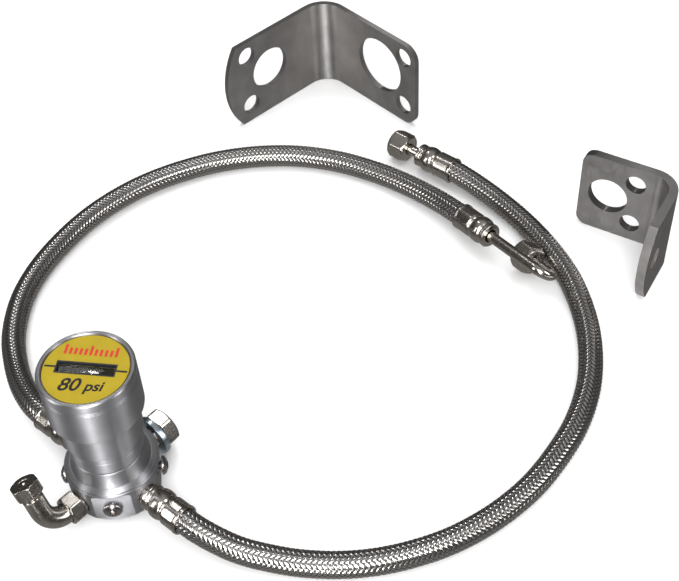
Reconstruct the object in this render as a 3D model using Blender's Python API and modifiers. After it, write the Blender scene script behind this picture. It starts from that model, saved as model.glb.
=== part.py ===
"""Dual tyre pressure equaliser with two braided hoses, an inflation elbow and two loose mounting brackets.

Lengths and places are written in millimetres and turned into metres when each mesh is made.
The origin is the centre of the regulator's base on the surface it stands on, and +Z is up.
"""
import math

import bmesh
import bpy
from mathutils import Matrix, Vector

MM = 0.001
ROUND = 40

# Regulator: a turned body, a spring housing screwed into it and a cap over the housing.
BODY_RADIUS = 18.5
BODY_BASE_RADIUS = 15.9
BODY_BASE_CHAMFER = 3.5
BODY_TOP = 27.4
RING_RADIUS = 18.0
RING_TOP_RADIUS = 15.8
RING_BOTTOM = 19.4
RING_TOP = 20.6
NECK_RADIUS = 14.3
NECK_BOTTOM = 27.9
CAP_BOTTOM = 36.9
CAP_STEP = 52.0
CAP_TOP = 73.5
CAP_RADIUS = 18.1
CAP_LOWER_RADIUS = 15.4
CHAMBER_RADIUS = 8.55
CHAMBER_FLOOR = 4.0
SPIGOT_RADIUS = 12.0
SPIGOT_FLOOR = 16.0
GAP = 0.3

# Ports and plug screws alternate every 45 degrees round the body.
PORT_HEIGHT = 11.0
SCREW_ANGLES = (2.0, 92.0, 182.0, 272.0)
BOLT_ANGLE = 47.5
LEFT_PORT_ANGLE = 136.8
ELBOW_ANGLE = 226.0
RIGHT_PORT_ANGLE = -42.0
SCREW_FLAT = 16.9
SCREW_FLAT_WIDTH = 15.4
SCREW_SEAT = 18.6
SCREW_HEAD_RADIUS = 3.8
SCREW_HEAD_HEIGHT = 2.2
SCREW_SHANK_RADIUS = 1.75
SCREW_TIP = 10.6
BOLT_FLATS = 14.3
BOLT_HEAD_LOW = 22.6
BOLT_HEAD_HEIGHT = 6.0
BOLT_SHANK_RADIUS = 4.7
BOLT_TIP = 13.8
WASHER_THICKNESS = 2.4
WASHER_RADIUS = 8.6

# Pressure window in the cap.
LABEL_RADIUS = 15.8
RECESS_FLOOR = 72.3
SLOT_LENGTH = 22.0
SLOT_WIDTH = 5.2
WINDOW_TURN = Matrix.Rotation(math.radians(-10.0), 4, "Z")

# Piston and the pieces that ride on it.
PISTON_BOTTOM = 4.5
PISTON_TOP = 13.6
ADJUSTER_BOTTOM = 46.3
ADJUSTER_TOP = 50.0
ROD_TOP = 60.2
BAR_TOP = 63.5
SPRING_RADIUS = 5.6
SPRING_WIRE_RADIUS = 0.8
SPRING_TURNS = 7
SPRING_TURN_POINTS = 12

# Hoses and their fittings.
HOSE_RADIUS = 5.25
INLET_FERRULE_LENGTH = 18.5
END_FERRULE_LENGTH = 20.5
LEFT_FERRULE_START = 23.6
RIGHT_FERRULE_START = 19.9
TUBE_RADIUS = 2.5
NUT_FLATS = 12.7
NUT_LENGTH = 9.6
STUB_VISIBLE = 6.4

LEFT_ROUTE = (
    (-31.0, 29.1, 11.0), (-35.2, 33.9, 10.6), (-39.7, 41.0, 9.3), (-44.4, 50.8, 7.6), (-48.4, 62.9, 6.1),
    (-51.1, 75.5, 5.4), (-51.6, 88.0, 5.3), (-50.5, 100.0, 5.3), (-47.4, 112.0, 5.3), (-42.4, 124.0, 5.3),
    (-35.0, 137.0, 5.3), (-25.5, 150.0, 5.3), (-13.5, 162.0, 5.3), (0.5, 172.2, 5.3), (17.0, 180.3, 5.3),
    (36.0, 186.2, 5.3), (56.0, 188.4, 5.3), (76.0, 186.8, 5.3), (96.0, 180.7, 5.3), (115.0, 170.4, 5.3),
    (129.0, 159.3, 6.0), (140.8, 146.7, 7.6), (150.8, 132.9, 9.8),
)
RIGHT_ROUTE = (
    (28.9, -26.0, 11.0), (33.7, -29.8, 10.4), (40.4, -33.6, 8.8), (48.6, -37.3, 7.0), (58.0, -40.2, 5.8),
    (71.0, -43.4, 5.3), (86.0, -45.2, 5.3), (101.0, -44.7, 5.3), (116.0, -41.8, 5.3), (131.0, -36.6, 5.3),
    (147.0, -27.7, 5.3), (162.0, -15.7, 5.3), (174.5, -1.3, 5.3), (185.0, 14.5, 5.3), (192.8, 33.0, 5.3),
    (196.8, 53.0, 5.3), (197.4, 72.0, 5.3), (194.9, 92.0, 5.3), (189.2, 110.5, 5.3), (180.6, 129.0, 5.3),
    (169.6, 146.0, 5.6), (159.6, 158.2, 6.4), (151.2, 166.6, 7.3),
)
ROUTE_STEP = 15.0

# Far ends of the hoses: each ferrule starts at its route's last point.
LEFT_END_DIRECTION = Vector((0.535, -0.835, 0.129)).normalized()
RIGHT_END_DIRECTION = Vector((-0.749, 0.662, 0.006)).normalized()
HOOK_SIDE = Vector((0.66, 0.37, -0.655))
HOOK_STRAIGHT = 29.5
HOOK_BEND_RADIUS = 5.2
HOOK_TURN = 180.0
HOOK_RETURN = 8.7

# Inflation elbow.
ELBOW_HEIGHT = 9.8
ELBOW_TUBE_RADIUS = 4.2
ELBOW_OUT = 7.0
ELBOW_BEND_RADIUS = 8.0
ELBOW_LEG = 6.8
ELBOW_LEAN = 27.0
ELBOW_HEAD_LENGTH = 6.5
ELBOW_HEAD_FLATS = 10.4
ELBOW_NUT_FLATS = 11.2
ELBOW_NUT_LOW = 18.9
ELBOW_NUT_TOP = 25.2

# Brackets: strip steel bent to a right angle and stood on its edge.
BEND_SLICES = 8

objects = bpy.data.collections.new("pressure_equaliser")
cutters = bpy.data.collections.new("cutters")


def clear_scene():
    for thing in list(bpy.data.objects):
        bpy.data.objects.remove(thing)
    for collection in (objects, cutters):
        bpy.context.scene.collection.children.link(collection)


def make_material(name, colour, metallic, roughness, alpha=1.0):
    material = bpy.data.materials.new(name)
    material.use_nodes = True
    shader = material.node_tree.nodes["Principled BSDF"]
    shader.inputs["Base Color"].default_value = (*colour, 1.0)
    shader.inputs["Metallic"].default_value = metallic
    shader.inputs["Roughness"].default_value = roughness
    shader.inputs["Alpha"].default_value = alpha
    material.diffuse_color = (*colour, alpha)
    return material


def make_materials():
    return {
        "turned_aluminium": make_material("turned_aluminium", (0.72, 0.73, 0.76), 1.0, 0.32),
        "nickel": make_material("nickel", (0.55, 0.52, 0.49), 1.0, 0.26),
        "braid": make_material("braid", (0.46, 0.44, 0.42), 1.0, 0.38),
        "bracket_steel": make_material("bracket_steel", (0.50, 0.48, 0.47), 1.0, 0.40),
        "screw_steel": make_material("screw_steel", (0.45, 0.43, 0.42), 1.0, 0.30),
        "zinc": make_material("zinc", (0.62, 0.68, 0.72), 1.0, 0.35),
        "spring_steel": make_material("spring_steel", (0.40, 0.40, 0.42), 1.0, 0.35),
        "brass": make_material("brass", (0.72, 0.55, 0.25), 1.0, 0.30),
        "label": make_material("label", (0.78, 0.60, 0.08), 0.0, 0.45),
        "black_plastic": make_material("black_plastic", (0.02, 0.02, 0.025), 0.0, 0.5),
        "indicator": make_material("indicator", (0.85, 0.72, 0.06), 0.0, 0.45),
        "lens": make_material("lens", (0.9, 0.93, 0.95), 0.0, 0.05, 0.35),
        "rubber": make_material("rubber", (0.03, 0.03, 0.03), 0.0, 0.75),
    }


def finish(name, mesh, material=None, place=Matrix.Identity(4)):
    """Put a mesh, built in millimetres, into the scene as a node, or as a cutter when it has no material."""
    mesh.transform(Matrix.Diagonal((MM, MM, MM, 1.0)))
    thing = bpy.data.objects.new(name, mesh)
    thing.matrix_world = Matrix.Translation(place.translation * MM) @ place.to_3x3().to_4x4()
    if material:
        mesh.materials.append(material)
        objects.objects.link(thing)
    else:
        cutters.objects.link(thing)
        thing.hide_render = True
        thing.display_type = "WIRE"
    return thing


def face_outwards(grid):
    bmesh.ops.recalc_face_normals(grid, faces=grid.faces[:])
    if grid.calc_volume(signed=True) < 0.0:
        bmesh.ops.reverse_faces(grid, faces=grid.faces[:])


def mesh_from(builder):
    grid = bmesh.new()
    builder(grid)
    bmesh.ops.recalc_face_normals(grid, faces=grid.faces[:])
    mesh = bpy.data.meshes.new("part")
    grid.to_mesh(mesh)
    grid.free()
    return mesh


def turned(name, profile, material=None, place=Matrix.Identity(4), closed=False, steps=ROUND):
    """Turn a profile of (radius, height) points, which runs down its outer side, about the local Z axis."""
    mesh = bpy.data.meshes.new(name)
    count = len(profile)
    edges = [(i, i + 1) for i in range(count - 1)]
    if closed:
        edges.append((count - 1, 0))
    mesh.from_pydata([(radius, 0.0, height) for radius, height in profile], edges, [])
    thing = finish(name, mesh, material, place)
    screw = thing.modifiers.new("turn", "SCREW")
    screw.steps = steps
    screw.render_steps = steps
    screw.use_merge_vertices = True
    screw.merge_threshold = 0.000005
    return thing


def cylinder(name, radius, low, high, material=None, place=Matrix.Identity(4), segments=ROUND):
    """A round or, with few segments, many-sided prism between two heights of its own Z axis."""
    def build(grid):
        bmesh.ops.create_cone(
            grid, cap_ends=True, segments=segments, radius1=radius, radius2=radius, depth=high - low,
            matrix=Matrix.Translation((0.0, 0.0, (low + high) / 2)))
    return finish(name, mesh_from(build), material, place)


def block(name, size, centre, material=None, place=Matrix.Identity(4), corner=0.0):
    """A box; with a corner radius, its edges along X are rounded."""
    def build(grid):
        bmesh.ops.create_cube(grid, size=1.0, matrix=Matrix.Translation(centre) @ Matrix.Diagonal((*size, 1.0)))
        if corner:
            along = [e for e in grid.edges if abs((e.verts[0].co - e.verts[1].co).x) > size[0] / 2]
            bmesh.ops.bevel(grid, geom=along, offset=corner, segments=4, profile=0.5, affect="EDGES")
    return finish(name, mesh_from(build), material, place)


def boolean(thing, cutter, operation="DIFFERENCE"):
    modifier = thing.modifiers.new(cutter.name, "BOOLEAN")
    modifier.object = cutter
    modifier.operation = operation
    modifier.solver = "EXACT"


def radial(angle, height=PORT_HEIGHT):
    """A frame on the regulator's axis whose local Z points outwards at this angle."""
    turn = Matrix.Rotation(math.radians(angle), 4, "Z") @ Matrix.Rotation(math.radians(90.0), 4, "Y")
    return Matrix.Translation((0.0, 0.0, height)) @ turn


def frame_along(start, direction, spin=0.0):
    """A frame at start whose local Z runs along direction, turned about it by spin degrees."""
    turn = Vector(direction).to_track_quat("Z", "Y").to_matrix().to_4x4()
    return Matrix.Translation(start) @ turn @ Matrix.Rotation(math.radians(spin), 4, "Z")


def smooth_route(points, step):
    """Points at an even step along a centripetal Catmull-Rom curve through the given points."""
    knots = [Vector(p) for p in points]
    knots = [knots[0] * 2 - knots[1]] + knots + [knots[-1] * 2 - knots[-2]]
    fine = []
    for a, b, c, d in zip(knots, knots[1:], knots[2:], knots[3:]):
        for i in range(12):
            t = i / 12
            fine.append(0.5 * (2 * b + (c - a) * t + (2 * a - 5 * b + 4 * c - d) * t * t
                               + (3 * b - a - 3 * c + d) * t ** 3))
    fine.append(knots[-2])
    lengths = [0.0]
    for a, b in zip(fine, fine[1:]):
        lengths.append(lengths[-1] + (b - a).length)
    count = max(2, round(lengths[-1] / step))
    result = []
    k = 0
    for i in range(count + 1):
        want = lengths[-1] * i / count
        while k < len(fine) - 2 and lengths[k + 1] < want:
            k += 1
        part = (want - lengths[k]) / (lengths[k + 1] - lengths[k])
        result.append(fine[k].lerp(fine[k + 1], part))
    return result


def swept(name, points, radius, material, sides=3):
    """A round bar along a list of points, as a mesh with welded caps."""
    curve = bpy.data.curves.new(name, "CURVE")
    curve.dimensions = "3D"
    curve.bevel_depth = radius * MM
    curve.bevel_resolution = sides
    curve.use_fill_caps = True
    spline = curve.splines.new("POLY")
    spline.points.add(len(points) - 1)
    for spot, point in zip(spline.points, points):
        spot.co = (*(Vector(point) * MM), 1.0)
    path = bpy.data.objects.new(name + "_path", curve)
    bpy.context.scene.collection.objects.link(path)
    bpy.context.view_layer.update()
    shaped = path.evaluated_get(bpy.context.evaluated_depsgraph_get())
    mesh = bpy.data.meshes.new_from_object(shaped)
    bpy.data.objects.remove(path)
    grid = bmesh.new()
    grid.from_mesh(mesh)
    bmesh.ops.remove_doubles(grid, verts=grid.verts[:], dist=0.000005)
    face_outwards(grid)
    grid.to_mesh(mesh)
    grid.free()
    mesh.materials.clear()
    mesh.materials.append(material)
    thing = bpy.data.objects.new(name, mesh)
    objects.objects.link(thing)
    return thing


def arc(centre, first, second, radius, start, end, count):
    """Points on an arc about centre, from the unit vector first towards the unit vector second."""
    steps = [math.radians(start + (end - start) * i / count) for i in range(count + 1)]
    return [centre + (first * math.cos(a) + second * math.sin(a)) * radius for a in steps]


def hex_nut(name, flats, low, high, material, place, bores, chamfer=1.3):
    """A hexagon bar end with its corners turned off at both faces, bored by (radius, from, to) steps."""
    nut = cylinder(name, flats / math.sqrt(3), low, high, material, place, segments=6)
    outer = flats / math.sqrt(3) + 0.2
    inner = flats / 2 - 0.3
    turned_off = turned(name + "_chamfer", [
        (0.0, high + 0.1), (inner, high + 0.1), (outer, high - chamfer), (outer, low + chamfer),
        (inner, low - 0.1), (0.0, low - 0.1)], place=place)
    boolean(nut, turned_off, "INTERSECT")
    for i, (radius, start, end) in enumerate(bores):
        boolean(nut, cylinder(f"{name}_bore_{i}", radius, start, end, place=place, segments=24))
    return nut


def make_body(materials):
    flare = [(NECK_RADIUS + 1.5 * t ** 2, BODY_TOP - 0.6 - (BODY_TOP - 0.6 - RING_TOP) * t)
             for t in (0.0, 0.35, 0.65, 0.85, 1.0)]
    profile = [(0.0, CHAMBER_FLOOR), (CHAMBER_RADIUS, CHAMBER_FLOOR), (CHAMBER_RADIUS, SPIGOT_FLOOR),
               (SPIGOT_RADIUS + GAP, SPIGOT_FLOOR), (SPIGOT_RADIUS + GAP, BODY_TOP), (NECK_RADIUS - 0.6, BODY_TOP)]
    profile += flare
    profile += [(RING_RADIUS, RING_BOTTOM), (RING_RADIUS, RING_BOTTOM - 0.35),
                (BODY_RADIUS, RING_BOTTOM - 0.7), (BODY_RADIUS, BODY_BASE_CHAMFER), (BODY_BASE_RADIUS, 0.0),
                (0.0, 0.0)]
    body = turned("regulator_body", profile, materials["turned_aluminium"], steps=56)
    for i, angle in enumerate(SCREW_ANGLES):
        place = Matrix.Rotation(math.radians(angle), 4, "Z")
        flat = block(f"screw_flat_{i}", (6.0, SCREW_FLAT_WIDTH, 24.0), (SCREW_FLAT + 3.0, 0.0, 6.0),
                     place=place, corner=2.6)
        boolean(body, flat)
        boolean(body, cylinder(f"screw_hole_{i}", 2.1, 10.2, 20.0, place=radial(angle), segments=16))
    for i, (angle, height, bore) in enumerate(((LEFT_PORT_ANGLE, PORT_HEIGHT, 4.3),
                                               (ELBOW_ANGLE, ELBOW_HEIGHT, ELBOW_TUBE_RADIUS + 0.35),
                                               (RIGHT_PORT_ANGLE, PORT_HEIGHT, 4.3))):
        place = radial(angle, height)
        boolean(body, cylinder(f"port_{i}", bore, 12.4, 22.0, place=place, segments=24))
        boolean(body, cylinder(f"passage_{i}", 2.0, 7.0, 14.0, place=place, segments=16))
    boolean(body, cylinder("bolt_hole", BOLT_SHANK_RADIUS + GAP, BOLT_TIP - GAP, 22.0, place=radial(BOLT_ANGLE),
                           segments=24))


def make_housing(materials):
    turned("spring_housing", [
        (CHAMBER_RADIUS, 52.0), (11.8, 52.0), (11.8, CAP_BOTTOM - 0.3), (NECK_RADIUS, CAP_BOTTOM - 0.3),
        (NECK_RADIUS, NECK_BOTTOM + 0.4), (NECK_RADIUS - 0.4, NECK_BOTTOM), (SPIGOT_RADIUS, NECK_BOTTOM),
        (SPIGOT_RADIUS, 22.6), (10.9, 22.6), (10.9, 20.4), (SPIGOT_RADIUS, 20.4), (SPIGOT_RADIUS, SPIGOT_FLOOR + GAP),
        (CHAMBER_RADIUS, SPIGOT_FLOOR + GAP)], materials["turned_aluminium"], closed=True)
    turned("housing_seal", [(11.2, 22.2), (12.15, 22.0), (12.15, 21.0), (11.2, 20.8)],
           materials["rubber"], closed=True)


def make_cap(materials):
    cap = turned("regulator_cap", [
        (0.0, RECESS_FLOOR), (LABEL_RADIUS + 0.3, RECESS_FLOOR), (LABEL_RADIUS + 0.3, CAP_TOP - 0.3),
        (LABEL_RADIUS + 0.7, CAP_TOP), (CAP_RADIUS - 0.5, CAP_TOP), (CAP_RADIUS, CAP_TOP - 0.5),
        (CAP_RADIUS, CAP_TOP - 4.6), (CAP_RADIUS - 0.25, CAP_TOP - 4.8), (CAP_RADIUS, CAP_TOP - 5.0),
        (CAP_RADIUS, CAP_STEP + 0.5), (CAP_RADIUS - 0.5, CAP_STEP), (CAP_LOWER_RADIUS, CAP_STEP - 1.2),
        (CAP_LOWER_RADIUS, CAP_BOTTOM + 0.7), (CAP_LOWER_RADIUS - 0.5, CAP_BOTTOM), (12.1, CAP_BOTTOM),
        (12.1, 52.6), (14.2, 54.6), (14.2, 69.6), (0.0, 69.6)], materials["turned_aluminium"], steps=56)
    boolean(cap, block("window_slot", (SLOT_LENGTH, SLOT_WIDTH, 6.0), (0.0, 0.0, 71.0), place=WINDOW_TURN))
    label = cylinder("label_disc", LABEL_RADIUS, RECESS_FLOOR + 0.25, RECESS_FLOOR + 0.65,
                     materials["label"], segments=48)
    boolean(label, block("label_slot", (SLOT_LENGTH + 0.4, SLOT_WIDTH + 0.4, 4.0), (0.0, 0.0, 72.0),
                         place=WINDOW_TURN))
    block("window_lens", (SLOT_LENGTH - 0.6, SLOT_WIDTH - 0.6, 1.2), (0.0, 0.0, 70.9), materials["lens"],
          WINDOW_TURN)
    shroud = block("indicator_shroud", (SLOT_LENGTH + 1.6, SLOT_WIDTH + 3.2, 8.8), (0.0, 0.0, 64.9),
                   materials["black_plastic"], WINDOW_TURN)
    boolean(shroud, block("shroud_inside", (SLOT_LENGTH, SLOT_WIDTH, 20.0), (0.0, 0.0, 64.9), place=WINDOW_TURN))


def make_piston(materials):
    turned("pressure_piston", [
        (0.0, PISTON_TOP), (8.1, PISTON_TOP), (8.1, 9.4), (7.0, 9.4), (7.0, 7.2), (8.1, 7.2),
        (8.1, PISTON_BOTTOM), (0.0, PISTON_BOTTOM)], materials["turned_aluminium"])
    turned("piston_seal", [(7.25, 9.1), (8.3, 8.9), (8.3, 7.7), (7.25, 7.5)], materials["rubber"], closed=True)
    cylinder("indicator_rod", 1.6, PISTON_TOP + GAP, ROD_TOP, materials["spring_steel"], segments=16)
    block("indicator_bar", (SLOT_LENGTH - 0.9, SLOT_WIDTH - 0.9, BAR_TOP - ROD_TOP - GAP),
          (0.0, 0.0, (BAR_TOP + ROD_TOP + GAP) / 2), materials["indicator"], WINDOW_TURN)
    turned("spring_adjuster", [
        (2.1, ADJUSTER_TOP), (8.2, ADJUSTER_TOP), (8.2, ADJUSTER_BOTTOM), (2.1, ADJUSTER_BOTTOM)],
        materials["brass"], closed=True)
    low = PISTON_TOP + GAP + SPRING_WIRE_RADIUS
    high = ADJUSTER_BOTTOM - GAP - SPRING_WIRE_RADIUS
    count = SPRING_TURNS * SPRING_TURN_POINTS
    level = SPRING_TURN_POINTS // 2
    coil = []
    for i in range(count + 1):
        angle = 2 * math.pi * i / SPRING_TURN_POINTS
        climb = min(1.0, max(0.0, (i - level) / (count - 2 * level)))
        coil.append(Vector((SPRING_RADIUS * math.cos(angle), SPRING_RADIUS * math.sin(angle),
                            low + (high - low) * climb)))
    swept("main_spring", coil, SPRING_WIRE_RADIUS, materials["spring_steel"], sides=2)


def make_screws(materials):
    for i, angle in enumerate(SCREW_ANGLES):
        place = radial(angle)
        seat = SCREW_SEAT
        top = seat + SCREW_HEAD_HEIGHT
        screw = turned(f"port_screw_{i + 1}", [
            (0.0, top), (2.2, top - 0.1), (3.2, top - 0.7), (SCREW_HEAD_RADIUS - 0.05, seat + 0.7),
            (SCREW_HEAD_RADIUS, seat), (SCREW_SHANK_RADIUS, seat), (SCREW_SHANK_RADIUS, SCREW_TIP),
            (0.0, SCREW_TIP)], materials["screw_steel"], place, steps=24)
        boolean(screw, cylinder(f"screw_socket_{i}", 1.45, seat + 0.9, top + 0.8, place=place, segments=6))


def make_bolt(materials):
    place = radial(BOLT_ANGLE)
    bolt = hex_nut("mounting_bolt", BOLT_FLATS, BOLT_HEAD_LOW, BOLT_HEAD_LOW + BOLT_HEAD_HEIGHT,
                   materials["nickel"], place, (), chamfer=0.8)
    shank = cylinder("bolt_shank", BOLT_SHANK_RADIUS, BOLT_TIP, BOLT_HEAD_LOW + 1.0, place=place, segments=24)
    boolean(bolt, shank, "UNION")
    top = BOLT_HEAD_LOW - GAP
    low = top - WASHER_THICKNESS
    bore = BOLT_SHANK_RADIUS + 0.35
    washer = turned("lock_washer", [(bore, top), (WASHER_RADIUS, top), (WASHER_RADIUS, low), (bore, low)],
                    materials["zinc"], place, closed=True)
    boolean(washer, block("washer_split", (6.0, 0.9, 6.0), (7.0, 0.0, (low + top) / 2),
                          place=place @ Matrix.Rotation(math.radians(20.0), 4, "Z")))


def make_elbow(materials):
    place = radial(ELBOW_ANGLE, ELBOW_HEIGHT)
    hex_nut("elbow_nut", ELBOW_NUT_FLATS, ELBOW_NUT_LOW, ELBOW_NUT_TOP, materials["nickel"], place,
            [(ELBOW_TUBE_RADIUS + GAP, 10.0, 30.0)], chamfer=1.0)
    out = Vector((math.cos(math.radians(ELBOW_ANGLE)), math.sin(math.radians(ELBOW_ANGLE)), 0.0))
    side = Vector((-out.y, out.x, 0.0))
    lean = math.radians(ELBOW_LEAN)
    up = Vector((0.0, 0.0, math.cos(lean))) - side * math.sin(lean)
    axis = Vector((0.0, 0.0, ELBOW_HEIGHT))
    bend = axis + out * (18.0 + ELBOW_OUT) + up * ELBOW_BEND_RADIUS
    points = [axis + out * 14.4, axis + out * 22.0]
    points += arc(bend, -up, out, ELBOW_BEND_RADIUS, 0.0, 90.0, 8)
    foot = points[-1]
    points.append(foot + up * (ELBOW_LEG * 0.5))
    points.append(foot + up * ELBOW_LEG)
    swept("inflation_elbow", points, ELBOW_TUBE_RADIUS, materials["nickel"], sides=4)
    head = frame_along(foot + up * (ELBOW_LEG + GAP), up, spin=-10.0)
    hex_nut("valve_head", ELBOW_HEAD_FLATS, 0.0, ELBOW_HEAD_LENGTH, materials["nickel"], head,
            [(2.6, 1.2, ELBOW_HEAD_LENGTH + 1.0)], chamfer=1.0)
    turned("valve_core", [(1.0, ELBOW_HEAD_LENGTH - 0.8), (2.3, ELBOW_HEAD_LENGTH - 0.8), (2.3, 1.6), (1.0, 1.6)],
           materials["brass"], head, closed=True, steps=20)
    turned("valve_pin", [(0.0, ELBOW_HEAD_LENGTH + 0.3), (0.45, ELBOW_HEAD_LENGTH + 0.15),
                         (0.65, ELBOW_HEAD_LENGTH - 0.4), (0.65, 3.4), (0.0, 3.4)],
           materials["brass"], head, steps=12)


def ferrule(name, place, length, materials):
    """A crimped ferrule: collar, groove, bead, groove and sleeve, from the fitting's side to the hose's."""
    bead = [(4.9 + 1.35 * math.sin(math.radians(a)), 6.5 - 3.1 * math.cos(math.radians(a)))
            for a in range(20, 161, 28)]
    outline = [(3.2, 0.0), (5.2, 0.0), (5.6, 0.4), (5.6, 2.4), (5.2, 2.8), (4.9, 3.1)]
    outline += bead
    outline += [(5.35, 10.2), (6.0, 11.0), (6.05, length - 1.5), (6.25, length - 1.2), (6.25, length - 0.2),
                (6.0, length), (3.2, length)]
    turned(name, list(reversed(outline)), materials["nickel"], place, closed=True, steps=24)


def make_hoses(materials):
    for side, angle, start, route, end_direction in (
            ("left", LEFT_PORT_ANGLE, LEFT_FERRULE_START, LEFT_ROUTE, LEFT_END_DIRECTION),
            ("right", RIGHT_PORT_ANGLE, RIGHT_FERRULE_START, RIGHT_ROUTE, RIGHT_END_DIRECTION)):
        place = radial(angle)
        turned(f"{side}_hose_nipple", [
            (1.9, start + 6.0), (2.9, start + 6.0), (2.9, start - GAP), (4.4, start - GAP), (4.4, 18.9),
            (4.0, 18.5), (4.0, 12.8), (1.9, 12.8)], materials["nickel"], place, closed=True, steps=24)
        ferrule(f"{side}_inlet_ferrule", place @ Matrix.Translation((0.0, 0.0, start)),
                INLET_FERRULE_LENGTH, materials)
        points = smooth_route(route, ROUTE_STEP)
        points.insert(1, points[0] + Vector((math.cos(math.radians(angle)), math.sin(math.radians(angle)), 0.0)))
        points.insert(-1, points[-1] - end_direction)
        swept(f"{side}_hose_tube", points, HOSE_RADIUS, materials["braid"], sides=4)


def end_frame(route, direction):
    """The frame of a far-end ferrule, whose local Z runs from the fitting back to the hose."""
    mouth = Vector(route[-1]) + direction * GAP
    return frame_along(mouth + direction * END_FERRULE_LENGTH, -direction)


def far_nut(side, start, direction, spin, materials):
    """A valve-stem nut that swivels on the tube's end, with its rubber gasket inside."""
    place = frame_along(start, direction, spin)
    hex_nut(f"{side}_nut", NUT_FLATS, 0.0, NUT_LENGTH, materials["nickel"], place,
            [(TUBE_RADIUS + 0.35, -1.0, 5.0), (4.3, 2.4, NUT_LENGTH + 1.0)], chamfer=1.9)
    turned(f"{side}_gasket", [(1.6, 5.6), (3.9, 5.6), (3.9, 4.4), (1.6, 4.4)], materials["rubber"], place,
           closed=True, steps=20)


def make_straight_end(materials):
    place = end_frame(RIGHT_ROUTE, RIGHT_END_DIRECTION)
    ferrule("right_end_ferrule", place, END_FERRULE_LENGTH, materials)
    end = place.translation
    points = [end - RIGHT_END_DIRECTION * 7.0, end, end + RIGHT_END_DIRECTION * (STUB_VISIBLE + 4.0)]
    swept("straight_stub", points, TUBE_RADIUS, materials["nickel"], sides=4)
    far_nut("straight", end + RIGHT_END_DIRECTION * STUB_VISIBLE, RIGHT_END_DIRECTION, 0.0, materials)


def make_hook_end(materials):
    place = end_frame(LEFT_ROUTE, LEFT_END_DIRECTION)
    ferrule("left_end_ferrule", place, END_FERRULE_LENGTH, materials)
    end = place.translation
    run = LEFT_END_DIRECTION
    down = (HOOK_SIDE - run * HOOK_SIDE.dot(run)).normalized()
    top = end + run * HOOK_STRAIGHT
    centre = top + down * HOOK_BEND_RADIUS
    points = [end - run * 7.0, end, end + run * HOOK_STRAIGHT * 0.5]
    points += arc(centre, -down, run, HOOK_BEND_RADIUS, 0.0, HOOK_TURN, 12)
    turn = math.radians(HOOK_TURN)
    back = run * math.cos(turn) + down * math.sin(turn)
    points.append(points[-1] + back * (HOOK_RETURN + 4.0))
    swept("hook_tube", points, TUBE_RADIUS, materials["nickel"], sides=4)
    far_nut("hook", points[-1] - back * 4.0, back, 0.0, materials)


def bent_plate(name, material, plate, bend, height, left, right, place):
    """An L of strip: each flange is (length, end shape, holes), with holes as (distance, height, radius).

    Bend is the corner's inner radius. Distances run along the inner face from the sharp inner corner, which
    is the local origin.
    The left flange lies along local -X and the right flange along local -Y.
    """
    arc_length = math.pi / 2 * (bend + plate / 2)
    flat_left = left[0] - bend
    flat_right = right[0] - bend
    curve = bpy.data.curves.new(name, "CURVE")
    curve.dimensions = "2D"
    curve.fill_mode = "BOTH"
    curve.extrude = plate / 2

    def ring(points):
        spline = curve.splines.new("POLY")
        spline.points.add(len(points) - 1)
        for spot, (along, up) in zip(spline.points, points):
            spot.co = (along, up, 0.0, 1.0)
        spline.use_cyclic_u = True

    def end_shape(edge, outward, rise, crown, corner):
        """An end from bottom to top: crowned by an arc, or square with rounded corners."""
        if crown:
            radius = (rise * rise / 4 + crown * crown) / (2 * crown)
            half = math.asin(rise / 2 / radius)
            return [(edge + outward * (radius * math.cos(half * t) - radius), rise / 2 + radius * math.sin(half * t))
                    for t in [i / 5 for i in range(-5, 6)]]
        points = []
        for centre_up, start in ((corner, -90), (rise - corner, 0)):
            for i in range(6):
                a = math.radians(start + 18 * i)
                points.append((edge + outward * (corner * math.cos(a) - corner), centre_up + corner * math.sin(a)))
        return points

    low_end = -flat_left
    high_end = arc_length + flat_right
    outline = end_shape(high_end, 1.0, height, *right[1])
    outline += list(reversed(end_shape(low_end, -1.0, height, *left[1])))
    ring(outline)
    spots = [(-(distance - bend), up, radius) for distance, up, radius in left[2]]
    spots += [(arc_length + distance - bend, up, radius) for distance, up, radius in right[2]]
    for along, up, radius in spots:
        count = 24 if radius > 6 else 14
        ring([(along + radius * math.cos(2 * math.pi * i / count), up + radius * math.sin(2 * math.pi * i / count))
              for i in range(count)])
    flat = bpy.data.objects.new(name + "_flat", curve)
    bpy.context.scene.collection.objects.link(flat)
    bpy.context.view_layer.update()
    mesh = bpy.data.meshes.new_from_object(flat.evaluated_get(bpy.context.evaluated_depsgraph_get()))
    bpy.data.objects.remove(flat)
    grid = bmesh.new()
    grid.from_mesh(mesh)
    bmesh.ops.remove_doubles(grid, verts=grid.verts[:], dist=0.001)
    for i in range(BEND_SLICES + 1):
        bmesh.ops.bisect_plane(grid, geom=grid.verts[:] + grid.edges[:] + grid.faces[:], dist=0.0001,
                               plane_co=(arc_length * i / BEND_SLICES, 0.0, 0.0), plane_no=(1.0, 0.0, 0.0))
    middle = bend + plate / 2
    for vert in grid.verts:
        along, up, off = vert.co
        if along <= 0.0:
            vert.co = (along - bend, plate / 2 + off, up)
        elif along >= arc_length:
            vert.co = (plate / 2 + off, -(along - arc_length) - bend, up)
        else:
            angle = along / middle
            reach = middle + off
            vert.co = (-bend + reach * math.sin(angle), -bend + reach * math.cos(angle), up)
    face_outwards(grid)
    grid.to_mesh(mesh)
    grid.free()
    mesh.materials.clear()
    return finish(name, mesh, material, place)


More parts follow.
